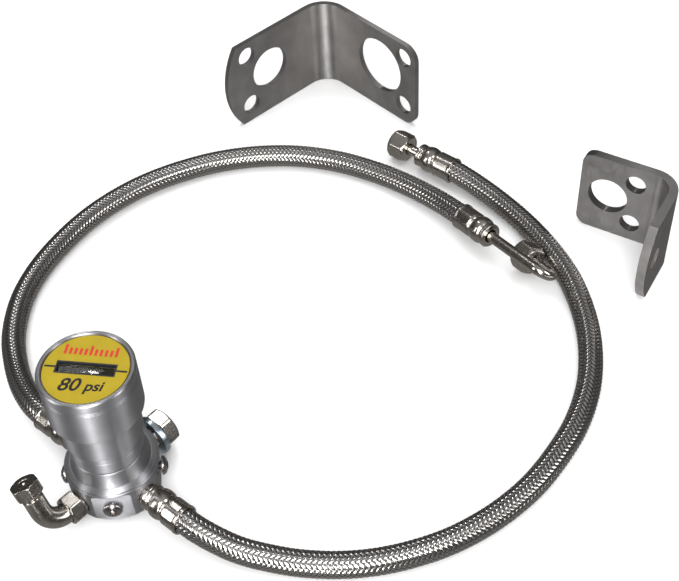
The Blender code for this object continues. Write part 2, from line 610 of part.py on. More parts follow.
def make_brackets(materials):
    steel = materials["bracket_steel"]
    bent_plate("large_bracket", steel, 2.6, 11.0, 47.2,
               (66.6, (7.5, 0.0), ((38.8, 25.2, 11.0), (52.8, 39.3, 5.0), (52.8, 9.8, 5.0))),
               (65.2, (0.0, 8.0), ((40.2, 26.4, 14.8), (56.9, 39.3, 5.0), (56.9, 10.2, 5.0))),
               Matrix.Translation((92.8, 259.1, 0.0)) @ Matrix.Rotation(math.radians(40.9), 4, "Z"))
    bent_plate("small_bracket", steel, 4.0, 9.0, 42.4,
               (42.4, (0.0, 5.5), ((28.8, 21.4, 9.3), (16.8, 33.0, 4.7), (16.8, 9.6, 4.7))),
               (38.5, (7.5, 0.0), ((27.5, 21.2, 4.8),)),
               Matrix.Translation((240.6, 112.5, 0.0)) @ Matrix.Rotation(math.radians(-32.5), 4, "Z"))


def main():
    clear_scene()
    materials = make_materials()
    make_body(materials)
    make_housing(materials)
    make_cap(materials)
    make_piston(materials)
    make_screws(materials)
    make_bolt(materials)
    make_elbow(materials)
    make_hoses(materials)
    make_straight_end(materials)
    make_hook_end(materials)
    make_brackets(materials)


main()
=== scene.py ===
"""Looks of the dual tyre pressure equaliser: turned regulator, braided hoses, fittings and two brackets.

Lengths and places are written in millimetres and turned into metres when each mesh is made.
"""
import math

import bmesh
import bpy
import numpy as np
from mathutils import Matrix, Vector


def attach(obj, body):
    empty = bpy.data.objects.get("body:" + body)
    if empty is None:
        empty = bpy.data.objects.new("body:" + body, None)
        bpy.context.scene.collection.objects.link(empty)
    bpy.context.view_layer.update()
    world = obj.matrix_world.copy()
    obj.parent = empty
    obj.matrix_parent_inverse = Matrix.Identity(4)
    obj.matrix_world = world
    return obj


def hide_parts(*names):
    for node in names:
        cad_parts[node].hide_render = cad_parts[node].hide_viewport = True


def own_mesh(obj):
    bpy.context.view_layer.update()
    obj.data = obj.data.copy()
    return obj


MM = 0.001


def about_z(degrees):
    return Matrix.Rotation(math.radians(degrees), 4, "Z")


# Regulator.
BODY_RADIUS = 18.5
BODY_BASE_RADIUS = 15.9
BODY_BASE_CHAMFER = 3.5
BODY_TOP = 27.4
RING_RADIUS = 18.0
RING_TOP_RADIUS = 15.8
RING_BOTTOM = 19.4
RING_TOP = 20.6
NECK_RADIUS = 14.3
NECK_BOTTOM = 27.9
CAP_BOTTOM = 36.9
CAP_STEP = 52.0
CAP_TOP = 73.5
CAP_RADIUS = 18.1
CAP_LOWER_RADIUS = 15.4
CAP_BORE = 14.2
CAP_ROOF = 69.6
CAP_THREAD_RADIUS = 12.1
HOUSING_TOP = 52.0
HOUSING_TOP_RADIUS = 11.8
SEAL_LOW = 20.4
SEAL_HIGH = 22.6
SEAL_GROOVE_RADIUS = 10.9
CHAMBER_RADIUS = 8.55
CHAMBER_FLOOR = 4.0
SPIGOT_RADIUS = 12.0
SPIGOT_FLOOR = 16.0
GAP = 0.3
PORT_HEIGHT = 11.0
PORT_BORE = 4.3
PASSAGE_START = 12.4
DRILL_END = 22.0
SCREW_BORE = 2.1
SCREW_BORE_START = 10.2
SCREW_BORE_END = 20.0
SCREW_TIP = 10.6
SCREW_SHANK_RADIUS = 1.75
SCREW_HEAD_RADIUS = 3.8
SCREW_ANGLES = (2.0, 92.0, 182.0, 272.0)
BOLT_ANGLE = 47.5
LEFT_PORT_ANGLE = 136.8
ELBOW_ANGLE = 226.0
RIGHT_PORT_ANGLE = -42.0
SCREW_FLAT = 16.9
SCREW_FLAT_WIDTH = 15.4
SCREW_SEAT = 18.6
BOLT_FLATS = 14.3
BOLT_HEAD_LOW = 22.6
BOLT_HEAD_HEIGHT = 6.0
BOLT_SHANK_RADIUS = 4.7
BOLT_TIP = 13.8
WASHER_THICKNESS = 2.4
WASHER_RADIUS = 8.6
LABEL_RADIUS = 15.8
RECESS_FLOOR = 72.3
SLOT_LENGTH = 22.0
SLOT_WIDTH = 5.2
WINDOW_TURN = about_z(-10.0)
TEXT_TURN = about_z(-6.0)
TEXT_LINE = -10.0
TICKS = 11
TICK_SPACING = 1.9
LENS_CENTRE = 70.9
PISTON_TOP = 13.6
ADJUSTER_BOTTOM = 46.3
SPRING_RADIUS = 5.6
SPRING_WIRE_RADIUS = 0.8
SPRING_TURNS = 7
SPRING_TURN_POINTS = 24

# Hoses and fittings.
HOSE_RADIUS = 5.25
INLET_FERRULE_LENGTH = 18.5
END_FERRULE_LENGTH = 20.5
LEFT_FERRULE_START = 23.6
RIGHT_FERRULE_START = 19.9
TUBE_RADIUS = 2.5
TUBE_INSIDE_FERRULE = 7.0
NIPPLE_FOOT = 12.8
NUT_FLATS = 12.7
NUT_LENGTH = 9.6
STUB_VISIBLE = 6.4
LEFT_ROUTE = (
    (-31.0, 29.1, 11.0), (-35.2, 33.9, 10.6), (-39.7, 41.0, 9.3), (-44.4, 50.8, 7.6), (-48.4, 62.9, 6.1),
    (-51.1, 75.5, 5.4), (-51.6, 88.0, 5.3), (-50.5, 100.0, 5.3), (-47.4, 112.0, 5.3), (-42.4, 124.0, 5.3),
    (-35.0, 137.0, 5.3), (-25.5, 150.0, 5.3), (-13.5, 162.0, 5.3), (0.5, 172.2, 5.3), (17.0, 180.3, 5.3),
    (36.0, 186.2, 5.3), (56.0, 188.4, 5.3), (76.0, 186.8, 5.3), (96.0, 180.7, 5.3), (115.0, 170.4, 5.3),
    (129.0, 159.3, 6.0), (140.8, 146.7, 7.6), (150.8, 132.9, 9.8),
)
RIGHT_ROUTE = (
    (28.9, -26.0, 11.0), (33.7, -29.8, 10.4), (40.4, -33.6, 8.8), (48.6, -37.3, 7.0), (58.0, -40.2, 5.8),
    (71.0, -43.4, 5.3), (86.0, -45.2, 5.3), (101.0, -44.7, 5.3), (116.0, -41.8, 5.3), (131.0, -36.6, 5.3),
    (147.0, -27.7, 5.3), (162.0, -15.7, 5.3), (174.5, -1.3, 5.3), (185.0, 14.5, 5.3), (192.8, 33.0, 5.3),
    (196.8, 53.0, 5.3), (197.4, 72.0, 5.3), (194.9, 92.0, 5.3), (189.2, 110.5, 5.3), (180.6, 129.0, 5.3),
    (169.6, 146.0, 5.6), (159.6, 158.2, 6.4), (151.2, 166.6, 7.3),
)
LEFT_END_DIRECTION = Vector((0.535, -0.835, 0.129)).normalized()
RIGHT_END_DIRECTION = Vector((-0.749, 0.662, 0.006)).normalized()
HOOK_SIDE = Vector((0.66, 0.37, -0.655))
HOOK_STRAIGHT = 29.5
HOOK_BEND_RADIUS = 5.2
HOOK_RETURN = 8.7
NUT_CLEARANCE = 4.0

# Inflation elbow.
ELBOW_HEIGHT = 9.8
ELBOW_TUBE_RADIUS = 4.2
ELBOW_SOCKET = 18.0
ELBOW_OUT = 7.0
ELBOW_BEND_RADIUS = 8.0
ELBOW_LEG = 6.8
ELBOW_LEAN = 27.0
ELBOW_HEAD_LENGTH = 6.5
ELBOW_HEAD_FLATS = 10.4
ELBOW_HEAD_SPIN = -10.0
ELBOW_NUT_FLATS = 11.2
ELBOW_NUT_LOW = 18.9
ELBOW_NUT_TOP = 25.2

# Braid: bundles of wire cross over two and under two, so they show in columns along the hose.
BRAID_COLUMNS = 12
BRAID_PITCH = 2.0
COLUMN_SAMPLES = 6
PITCH_SAMPLES = 6
BUNDLE_WAVE = 0.22
BUNDLE_CROWN = 0.30
BUNDLE_WIRES = 7.0
BRAID_TUCK = 1.6

# Brackets.
BEND_SLICES = 24
PLATE_EDGE = 0.45

CAMERA_PLACE = (0.0921, -0.2940, 0.4202)
CAMERA_PITCH = 46.91
CAMERA_ROLL = -3.37
CAMERA_LENS = 67.51

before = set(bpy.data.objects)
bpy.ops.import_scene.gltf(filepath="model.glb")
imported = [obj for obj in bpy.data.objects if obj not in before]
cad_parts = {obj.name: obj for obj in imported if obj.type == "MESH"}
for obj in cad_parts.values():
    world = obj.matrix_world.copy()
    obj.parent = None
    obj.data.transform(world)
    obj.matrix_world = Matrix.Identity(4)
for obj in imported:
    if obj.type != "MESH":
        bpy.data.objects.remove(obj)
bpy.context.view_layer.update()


# Camera, light and floor

def add_object(name, data):
    thing = bpy.data.objects.new(name, data)
    bpy.context.scene.collection.objects.link(thing)
    return thing


def make_camera():
    pitch = math.radians(CAMERA_PITCH)
    roll = math.radians(CAMERA_ROLL)
    ahead = Vector((0.0, math.cos(pitch), -math.sin(pitch)))
    up = Vector((0.0, math.sin(pitch), math.cos(pitch)))
    right = Vector((1.0, 0.0, 0.0))
    level_right = right * math.cos(roll) + up * math.sin(roll)
    level_up = up * math.cos(roll) - right * math.sin(roll)
    lens = bpy.data.cameras.new("camera")
    lens.lens = CAMERA_LENS
    lens.sensor_width = 36.0
    lens.clip_start = 0.01
    camera = add_object("camera", lens)
    turn = Matrix((level_right, level_up, -ahead)).transposed().to_4x4()
    camera.matrix_world = Matrix.Translation(CAMERA_PLACE) @ turn
    bpy.context.scene.camera = camera


def area_light(name, place, target, width, height, power):
    data = bpy.data.lights.new(name, "AREA")
    data.shape = "RECTANGLE"
    data.size = width
    data.size_y = height
    data.energy = power
    light = add_object(name, data)
    aim = (Vector(target) - Vector(place)).to_track_quat("-Z", "Y").to_matrix().to_4x4()
    light.matrix_world = Matrix.Translation(place) @ aim


def make_studio():
    middle = (0.08, 0.09, 0.02)
    area_light("key_light", (0.02, -0.62, 0.66), middle, 0.46, 0.58, 7.0)
    area_light("left_light", (-0.75, -0.25, 0.45), middle, 0.22, 0.60, 2.4)
    area_light("right_light", (0.85, -0.35, 0.50), middle, 0.22, 0.60, 2.8)
    sky = bpy.data.lights.new("sky_light", "SUN")
    sky.energy = 2.2
    sky.angle = math.radians(70.0)
    above = add_object("sky_light", sky)
    above.visible_glossy = False
    above.rotation_euler = (math.radians(-14.0), 0.0, 0.0)
    area_light("glint_light", (-0.137, 0.570, 0.819), (0.0, 0.0, 0.073), 0.075, 0.14, 0.6)
    area_light("band_light", (-0.03, -0.60, 0.13), (0.05, 0.12, 0.03), 0.07, 0.22, 1.1)
    world = bpy.data.worlds.new("studio")
    world.use_nodes = True
    tree = world.node_tree
    back = tree.nodes["Background"]
    direction = tree.nodes.new("ShaderNodeTexCoord")
    split = tree.nodes.new("ShaderNodeSeparateXYZ")
    ramp = tree.nodes.new("ShaderNodeValToRGB")
    ramp.color_ramp.elements[0].color = (0.27, 0.265, 0.26, 1.0)
    ramp.color_ramp.elements[1].position = 0.95
    ramp.color_ramp.elements[1].color = (0.36, 0.36, 0.37, 1.0)
    for height, grey in ((0.20, 0.25), (0.42, 0.07), (0.58, 0.05), (0.84, 0.12)):
        ramp.color_ramp.elements.new(height).color = (grey, grey * 0.98, grey * 0.96, 1.0)
    lift = tree.nodes.new("ShaderNodeMapRange")
    lift.inputs["From Min"].default_value = -1.0
    tree.links.new(direction.outputs["Generated"], split.inputs[0])
    tree.links.new(split.outputs["Z"], lift.inputs["Value"])
    tree.links.new(lift.outputs[0], ramp.inputs["Fac"])
    tree.links.new(ramp.outputs["Color"], back.inputs["Color"])
    back.inputs["Strength"].default_value = 1.0
    bpy.context.scene.world = world
    bpy.context.scene.view_settings.view_transform = "Standard"

    mesh = bpy.data.meshes.new("floor")
    half = 20.0
    mesh.from_pydata([(-half, -half, 0.0), (half, -half, 0.0), (half, half, 0.0), (-half, half, 0.0)], [],
                     [(0, 1, 2, 3)])
    floor = add_object("floor", mesh)
    floor.location.z = -0.0002
    paper = bpy.data.materials.new("paper")
    paper.use_nodes = True
    shader = paper.node_tree.nodes["Principled BSDF"]
    shader.inputs["Base Color"].default_value = (0.9, 0.9, 0.9, 1.0)
    shader.inputs["Roughness"].default_value = 0.9
    mesh.materials.append(paper)
    floor.visible_glossy = False


# Materials

class Nodes:
    """Short calls for wiring one material's node tree."""

    def __init__(self, name):
        self.material = bpy.data.materials.new(name)
        self.material.use_nodes = True
        self.tree = self.material.node_tree
        self.shader = self.tree.nodes["Principled BSDF"]

    def add(self, kind, **settings):
        node = self.tree.nodes.new("ShaderNode" + kind)
        for key, value in settings.items():
            setattr(node, key, value)
        return node

    def put(self, value, socket):
        if isinstance(value, bpy.types.NodeSocket):
            self.tree.links.new(value, socket)
        else:
            socket.default_value = value

    def math(self, operation, *values):
        node = self.add("Math", operation=operation)
        for value, socket in zip(values, node.inputs):
            self.put(value, socket)
        return node.outputs[0]

    def coordinates(self, stretch):
        source = self.add("TexCoord")
        mapping = self.add("Mapping")
        mapping.inputs["Scale"].default_value = stretch
        self.put(source.outputs["Object"], mapping.inputs["Vector"])
        return mapping.outputs[0]

    def noise(self, scale, detail=3.0, stretch=(1.0, 1.0, 1.0)):
        node = self.add("TexNoise")
        node.inputs["Scale"].default_value = scale
        node.inputs["Detail"].default_value = detail
        self.put(self.coordinates(stretch), node.inputs["Vector"])
        return node.outputs["Fac"]

    def ranged(self, value, low, high, start=0.0, end=1.0):
        node = self.add("MapRange")
        for number, name in ((start, "From Min"), (end, "From Max"), (low, "To Min"), (high, "To Max")):
            node.inputs[name].default_value = number
        self.put(value, node.inputs["Value"])
        return node.outputs[0]

    def mixed(self, share, first, second):
        node = self.add("Mix", data_type="RGBA")
        self.put(share, node.inputs["Factor"])
        self.put(first if isinstance(first, bpy.types.NodeSocket) else (*first, 1.0), node.inputs["A"])
        self.put(second if isinstance(second, bpy.types.NodeSocket) else (*second, 1.0), node.inputs["B"])
        return node.outputs["Result"]

    def bump(self, height, distance, strength=1.0):
        node = self.add("Bump")
        node.inputs["Distance"].default_value = distance * MM
        node.inputs["Strength"].default_value = strength
        self.put(height, node.inputs["Height"])
        self.put(node.outputs[0], self.shader.inputs["Normal"])

    def edges(self):
        """1 on convex edges, 0 on flat and hollow places."""
        return self.ranged(self.add("NewGeometry").outputs["Pointiness"], 0.0, 1.0, 0.51, 0.56)

    def brushed(self, strength):
        """Gloss that is drawn out upwards, as turning and rolling lines leave it."""
        upwards = self.add("CombineXYZ")
        for socket, value in zip(upwards.inputs, (0.05, 0.03, 1.0)):
            socket.default_value = value
        self.put(upwards.outputs[0], self.shader.inputs["Tangent"])
        self.shader.inputs["Anisotropic"].default_value = strength

    def set(self, **values):
        for key, value in values.items():
            self.put(value, self.shader.inputs[key.replace("_", " ")])
        return self.material


def shade(colour, factor):
    return tuple(min(1.0, channel * factor) for channel in colour)


def surface(name, colour, metallic, roughness, cloud=260.0, grain=2600.0, stretch=(1.0, 1.0, 1.0),
            depth=0.02, contrast=0.22, wear=1.5, worn=0.5, drawn=0.0):
    """A finish with cloudy colour, a directional grain in its gloss and relief, and brighter worn edges."""
    nodes = Nodes(name)
    clouds = nodes.noise(cloud, 4.0)
    lines = nodes.noise(grain, 2.0, stretch)
    tone = nodes.mixed(nodes.ranged(clouds, 0.0, 1.0, 0.3, 0.7), shade(colour, 1.0 - contrast),
                       shade(colour, 1.0 + contrast))
    if worn:
        tone = nodes.mixed(nodes.math("MULTIPLY", nodes.edges(), worn), tone, shade(colour, wear))
    gloss = nodes.math("ADD", nodes.ranged(clouds, -0.05, 0.05),
                       nodes.ranged(lines, roughness - 0.06, roughness + 0.08, 0.3, 0.7))
    nodes.bump(lines, depth)
    if drawn:
        nodes.brushed(drawn)
    return nodes.set(Base_Color=tone, Metallic=metallic, Roughness=gloss)


def braid_material():
    """Bundles of fine bright wire, with painted shade in the gaps between bundles and in the grooves between
    wires, drawn in the hose's own column and pitch coordinates.
    """
    nodes = Nodes("hose_braid")
    calc = nodes.math
    source = nodes.add("UVMap", uv_map="braid")
    split = nodes.add("SeparateXYZ")
    nodes.put(source.outputs[0], split.inputs[0])
    column, along = split.outputs["X"], split.outputs["Y"]
    lift = calc("COSINE", calc("MULTIPLY", column, math.pi))
    first = calc("ADD", along, column)
    second = calc("ADD", calc("SUBTRACT", along, column), 0.5)

    def across(strand):
        """0 in the middle of a bundle, 1 at its edges."""
        return calc("ABSOLUTE", calc("SUBTRACT", calc("MULTIPLY", calc("FRACT", strand), 2.0), 1.0))

    def height(strand, sign):
        crown = calc("SUBTRACT", 1.0, calc("POWER", across(strand), 2.5))
        return calc("ADD", calc("MULTIPLY", lift, sign * BUNDLE_WAVE), calc("MULTIPLY", crown, BUNDLE_CROWN))

    top = calc("GREATER_THAN", height(first, 1.0), height(second, -1.0))
    under = calc("SUBTRACT", 1.0, top)
    strand = calc("ADD", calc("MULTIPLY", first, top), calc("MULTIPLY", second, under))
    edge = across(strand)
    wires = calc("ABSOLUTE", calc("SINE", calc("MULTIPLY", strand, math.pi * BUNDLE_WIRES)))
    level = calc("MAXIMUM", height(first, 1.0), height(second, -1.0))
    # Mask that is 1 where the braid lies lowest: it paints shade into the gaps between bundles and makes them
    # rougher.
    gap_shade_and_roughness = nodes.ranged(level, 1.0, 0.0, 0.19, 0.38)
    gap_shade_and_roughness.node.interpolation_type = "SMOOTHSTEP"
    chance = nodes.add("TexWhiteNoise", noise_dimensions="1D")
    nodes.put(calc("FLOOR", strand), chance.inputs["W"])
    tone = nodes.mixed(chance.outputs["Value"], (0.60, 0.58, 0.56), (0.66, 0.64, 0.62))
    # Painted shade: darker colour in the grooves between neighbouring wires.
    tone = nodes.mixed(nodes.ranged(wires, 0.12, 0.0, 0.0, 0.5), tone, (0.16, 0.14, 0.13))
    # Painted shade: near-black colour in the gaps between bundles.
    tone = nodes.mixed(gap_shade_and_roughness, tone, (0.012, 0.011, 0.011))
    nodes.bump(calc("ADD", wires, calc("MULTIPLY", edge, -0.5)), 0.05, 0.06)
    gloss = calc("ADD", nodes.ranged(wires, 0.26, 0.18), calc("MULTIPLY", gap_shade_and_roughness, 0.3))
    return nodes.set(Base_Color=tone, Metallic=1.0, Roughness=gloss)


def label_material():
    nodes = Nodes("label")
    clouds = nodes.noise(160.0, 3.0)
    print_grain = nodes.noise(5200.0, 2.0)
    tone = nodes.mixed(nodes.ranged(clouds, 0.0, 1.0, 0.3, 0.7), (0.30, 0.225, 0.012), (0.34, 0.255, 0.016))
    tone = nodes.mixed(nodes.ranged(print_grain, 0.0, 0.25, 0.45, 0.75), tone, (0.26, 0.19, 0.010))
    nodes.bump(print_grain, 0.01, 0.5)
    return nodes.set(Base_Color=tone, Roughness=nodes.ranged(print_grain, 0.50, 0.62), Specular_IOR_Level=0.2)


def lens_material():
    nodes = Nodes("lens")
    haze = nodes.noise(900.0, 3.0)
    return nodes.set(Base_Color=(0.90, 0.92, 0.93, 1.0), Transmission_Weight=1.0, IOR=1.49,
                     Roughness=nodes.ranged(haze, 0.015, 0.05))


def make_materials():
    made = {}

    def add(name, *finish, **settings):
        made[name] = surface(name, *finish, **settings)

    add("turned_aluminium", (0.47, 0.47, 0.49), 1.0, 0.44, cloud=120.0, grain=1300.0,
        stretch=(0.0, 0.0, 3.0), depth=0.006, contrast=0.03, wear=1.25, drawn=0.88)
    add("nickel", (0.50, 0.47, 0.43), 1.0, 0.20, cloud=300.0, depth=0.005, contrast=0.08)
    made["hose_braid"] = braid_material()
    add("bracket_steel", (0.50, 0.485, 0.475), 1.0, 0.46, cloud=95.0, grain=2400.0,
        stretch=(0.5, 0.5, 0.12), depth=0.006, contrast=0.12, worn=0.0, drawn=0.86)
    add("screw_steel", (0.36, 0.34, 0.33), 1.0, 0.24, cloud=500.0, depth=0.01)
    add("zinc_plate", (0.48, 0.56, 0.60), 1.0, 0.28, cloud=400.0, depth=0.01)
    add("spring_steel", (0.30, 0.30, 0.32), 1.0, 0.30)
    add("brass", (0.62, 0.46, 0.20), 1.0, 0.26)
    made["label"] = label_material()
    add("black_plastic", (0.012, 0.012, 0.014), 0.0, 0.42, depth=0.01)
    add("indicator", (0.74, 0.56, 0.03), 0.0, 0.42, depth=0.01, contrast=0.08, wear=1.1)
    made["lens"] = lens_material()
    add("rubber", (0.02, 0.02, 0.02), 0.0, 0.70, grain=4200.0)
    add("black_ink", (0.008, 0.008, 0.008), 0.0, 0.65, depth=0.004)
    add("red_ink", (0.42, 0.022, 0.016), 0.0, 0.65, depth=0.004, contrast=0.1, wear=1.1)
    return made


# Shapes

def fillet(points, radius, closed=False, count=4):
    """The same outline with its corners rounded."""
    result = []
    for i, point in enumerate(points):
        if not closed and i in (0, len(points) - 1):
            result.append(tuple(point))
            continue
        before, corner, after = (Vector(points[k % len(points)]) for k in (i - 1, i, i + 1))
        reach = min(radius, (before - corner).length * 0.45, (after - corner).length * 0.45)
        start = corner + (before - corner).normalized() * reach
        end = corner + (after - corner).normalized() * reach
        for k in range(count + 1):
            t = k / count
            result.append(tuple(start.lerp(corner, t).lerp(corner.lerp(end, t), t)))
    return result


def dense(points, step, closed=False):
    """The same outline with a point at least every step."""
    ends = list(points[1:]) + ([points[0]] if closed else [])
    result = [] if closed else [tuple(points[0])]
    for a, b in zip(points, ends):
        count = max(1, math.ceil(math.dist(a, b) / step))
        result += [tuple(Vector(a).lerp(Vector(b), k / count)) for k in range(1, count + 1)]
    return result


def soft_min(a, b, blend):
    """The smaller of two radii, rounded over where they meet."""
    near = max(blend - abs(a - b), 0.0) / blend
    return min(a, b) - near * near * blend / 4.0


def many_sided(count, flats, blend=0.25):
    """A shape for lathe() that cuts a regular polygon, this far across its flats, into a turned piece."""
    sector = 2.0 * math.pi / count

    def shape(angle, radius, height):
        off = abs((angle + sector / 2.0) % sector - sector / 2.0)
        side = soft_min(flats / 2.0 / math.cos(off), flats / 2.0 / math.cos(sector - off), blend)
        return soft_min(radius, side, blend)
    return shape


def threaded(pitch, depth, low, high, least):
    """A shape for lathe() that cuts a screw thread between two heights, outside the radius least."""
    def shape(angle, radius, height):
        if not low < height < high or radius < least:
            return radius
        turn = (height / pitch + angle / (2.0 * math.pi)) % 1.0
        return radius - depth * (1.0 - abs(2.0 * turn - 1.0))
    return shape


def face_outwards(mesh):
    grid = bmesh.new()
    grid.from_mesh(mesh)
    bmesh.ops.recalc_face_normals(grid, faces=grid.faces[:])
    if grid.calc_volume(signed=True) < 0.0:
        bmesh.ops.reverse_faces(grid, faces=grid.faces[:])
    grid.to_mesh(mesh)
    grid.free()


def piece(name, mesh, material, place=Matrix.Identity(4), sharp=38.0):
    """Put a mesh, built in millimetres, into the scene as a smoothly shaded object."""
    face_outwards(mesh)
    mesh.transform(Matrix.Diagonal((MM, MM, MM, 1.0)))
    mesh.shade_smooth()
    mesh.set_sharp_from_angle(angle=math.radians(sharp))
    if material:
        mesh.materials.append(material)
    thing = add_object(name, mesh)
    thing.matrix_world = Matrix.Translation(place.translation * MM) @ place.to_3x3().to_4x4()
    return thing


def lathe(name, profile, material, place=Matrix.Identity(4), steps=96, closed=False, shape=None):
    """Turn (radius, height) points about the local Z axis; shape can change a radius by angle and height."""
    verts, faces, rows = [], [], []
    for radius, height in profile:
        if radius < 1e-6:
            rows.append([len(verts)])
            verts.append((0.0, 0.0, height))
            continue
        rows.append(list(range(len(verts), len(verts) + steps)))
        for j in range(steps):
            angle = 2.0 * math.pi * j / steps
            reach = shape(angle, radius, height) if shape else radius
            verts.append((reach * math.cos(angle), reach * math.sin(angle), height))
    pairs = list(zip(rows, rows[1:]))
    if closed:
        pairs.append((rows[-1], rows[0]))
    for a, b in pairs:
        for j in range(steps):
            k = (j + 1) % steps
            ring = (a[j % len(a)], a[k % len(a)], b[k % len(b)], b[j % len(b)])
            face = list(dict.fromkeys(ring))
            if len(face) > 2:
                faces.append(face)
    mesh = bpy.data.meshes.new(name)
    mesh.from_pydata(verts, [], faces)
    return piece(name, mesh, material, place)


def block(name, size, centre, material, place=Matrix.Identity(4), edge=0.0, corner=0.0):
    """A box; its corners along X can be rounded by corner, and all its edges by edge."""
    grid = bmesh.new()
    bmesh.ops.create_cube(grid, size=1.0, matrix=Matrix.Translation(centre) @ Matrix.Diagonal((*size, 1.0)))
    if corner:
        along = [e for e in grid.edges if abs((e.verts[0].co - e.verts[1].co).x) > size[0] / 2.0]
        bmesh.ops.bevel(grid, geom=along, offset=corner, segments=8, profile=0.5, affect="EDGES")
    if edge:
        bmesh.ops.bevel(grid, geom=grid.edges[:], offset=edge, segments=3, profile=0.5, affect="EDGES")
    mesh = bpy.data.meshes.new(name)
    grid.to_mesh(mesh)
    grid.free()
    return piece(name, mesh, material, place)


def evaluated_mesh(thing):
    bpy.context.view_layer.update()
    return bpy.data.meshes.new_from_object(thing.evaluated_get(bpy.context.evaluated_depsgraph_get()))


def round_edges(thing, width, segments, angle):
    """Round the edges that are sharper than angle, in degrees."""
    rounding = thing.modifiers.new("rounding", "BEVEL")
    rounding.width = width * MM
    rounding.segments = segments
    rounding.limit_method = "ANGLE"
    rounding.angle_limit = math.radians(angle)
    rounding.harden_normals = True


def cut(thing, cutters, bevel):
    """Subtract the cutters for good, then round the edges that they leave."""
    for cutter in cutters:
        modifier = thing.modifiers.new("cut", "BOOLEAN")
        modifier.object = cutter
        modifier.solver = "EXACT"
    mesh = evaluated_mesh(thing)
    thing.modifiers.clear()
    thing.data = mesh
    for cutter in cutters:
        bpy.data.objects.remove(cutter)
    mesh.set_sharp_from_angle(angle=math.radians(30.0))
    round_edges(thing, bevel, 2, 38.0)


def smooth_route(points, step):
    """Points at an even step along a Catmull-Rom curve through the given points."""
    knots = [Vector(p) for p in points]
    knots = [knots[0] * 2 - knots[1]] + knots + [knots[-1] * 2 - knots[-2]]
    fine = []
    for a, b, c, d in zip(knots, knots[1:], knots[2:], knots[3:]):
        for i in range(24):
            t = i / 24
            fine.append(0.5 * (2 * b + (c - a) * t + (2 * a - 5 * b + 4 * c - d) * t * t
                               + (3 * b - a - 3 * c + d) * t ** 3))
    fine.append(knots[-2])
    lengths = [0.0]
    for a, b in zip(fine, fine[1:]):
        lengths.append(lengths[-1] + (b - a).length)
    count = max(2, round(lengths[-1] / step))
    result = []
    k = 0
    for i in range(count + 1):
        want = lengths[-1] * i / count
        while k < len(fine) - 2 and lengths[k + 1] < want:
            k += 1
        part = (want - lengths[k]) / (lengths[k + 1] - lengths[k])
        result.append(fine[k].lerp(fine[k + 1], part))
    return result


def carried_frames(points):
    """(centre, side, up) at each point, carried along the line without twisting."""
    side = None
    frames = []
    for i, point in enumerate(points):
        ahead = (points[min(i + 1, len(points) - 1)] - points[max(i - 1, 0)]).normalized()
        if side is None:
            side = ahead.orthogonal()
        side = (side - ahead * side.dot(ahead)).normalized()
        frames.append((point, side, ahead.cross(side)))
    return frames


def tube(name, points, radius, material, sides=40, ends=0.35):
    """A round bar along a line, with rounded rims and flat ends."""
    first, last = (points[1] - points[0]).normalized(), (points[-1] - points[-2]).normalized()
    inner = [points[0] + first * ends] + list(points[1:-1]) + [points[-1] - last * ends]
    path = [points[0], points[0]] + inner + [points[-1], points[-1]]
    radii = [0.0, radius - ends] + [radius] * len(inner) + [radius - ends, 0.0]
    frames = carried_frames(inner)
    frames = [frames[0]] * 2 + frames + [frames[-1]] * 2
    verts, faces = [], []
    for centre, reach, (_, side, up) in zip(path, radii, frames):
        for j in range(sides if reach else 1):
            angle = 2.0 * math.pi * j / sides
            verts.append(centre + (side * math.cos(angle) + up * math.sin(angle)) * reach)
    rings = len(path) - 2
    for i in range(rings - 1):
        for j in range(sides):
            k = (j + 1) % sides
            low = 1 + i * sides
            faces.append((low + j, low + k, low + sides + k, low + sides + j))
    tail = 1 + (rings - 1) * sides
    for j in range(sides):
        k = (j + 1) % sides
        faces.append((0, 1 + k, 1 + j))
        faces.append((len(verts) - 1, tail + j, tail + k))
    mesh = bpy.data.meshes.new(name)
    mesh.from_pydata(verts, [], faces)
    return piece(name, mesh, material)


def arc(centre, first, second, radius, start, end, count):
    """Points on an arc about centre, from the unit vector first towards the unit vector second."""
    steps = [math.radians(start + (end - start) * i / count) for i in range(count + 1)]
    return [centre + (first * math.cos(a) + second * math.sin(a)) * radius for a in steps]


def radial(angle, height=PORT_HEIGHT):
    """A frame on the regulator's axis whose local Z points outwards at this angle."""
    turn = about_z(angle) @ Matrix.Rotation(math.radians(90.0), 4, "Y")
    return Matrix.Translation((0.0, 0.0, height)) @ turn


def outwards(angle):
    """The level direction that points out of the regulator at this angle."""
    return Vector((math.cos(math.radians(angle)), math.sin(math.radians(angle)), 0.0))


def frame_along(start, direction, spin=0.0):
    """A frame at start whose local Z runs along direction, turned about it by spin degrees."""
    turn = Vector(direction).to_track_quat("Z", "Y").to_matrix().to_4x4()
    return Matrix.Translation(start) @ turn @ about_z(spin)


def stands_for(thing, node, body="regulator"):
    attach(thing, body)
    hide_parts(node)
    return thing


# Hoses

def braid_relief(column, along):
    """Height of the braid above its lowest point, from the column and pitch coordinates."""
    lift = np.cos(np.pi * column) * BUNDLE_WAVE
    heights = []
    for strand, sign in ((along + column, 1.0), (along - column + 0.5, -1.0)):
        across = np.abs(2.0 * (strand % 1.0) - 1.0)
        heights.append(sign * lift + BUNDLE_CROWN * (1.0 - across ** 2.5))
    return np.maximum(*heights) + BUNDLE_WAVE


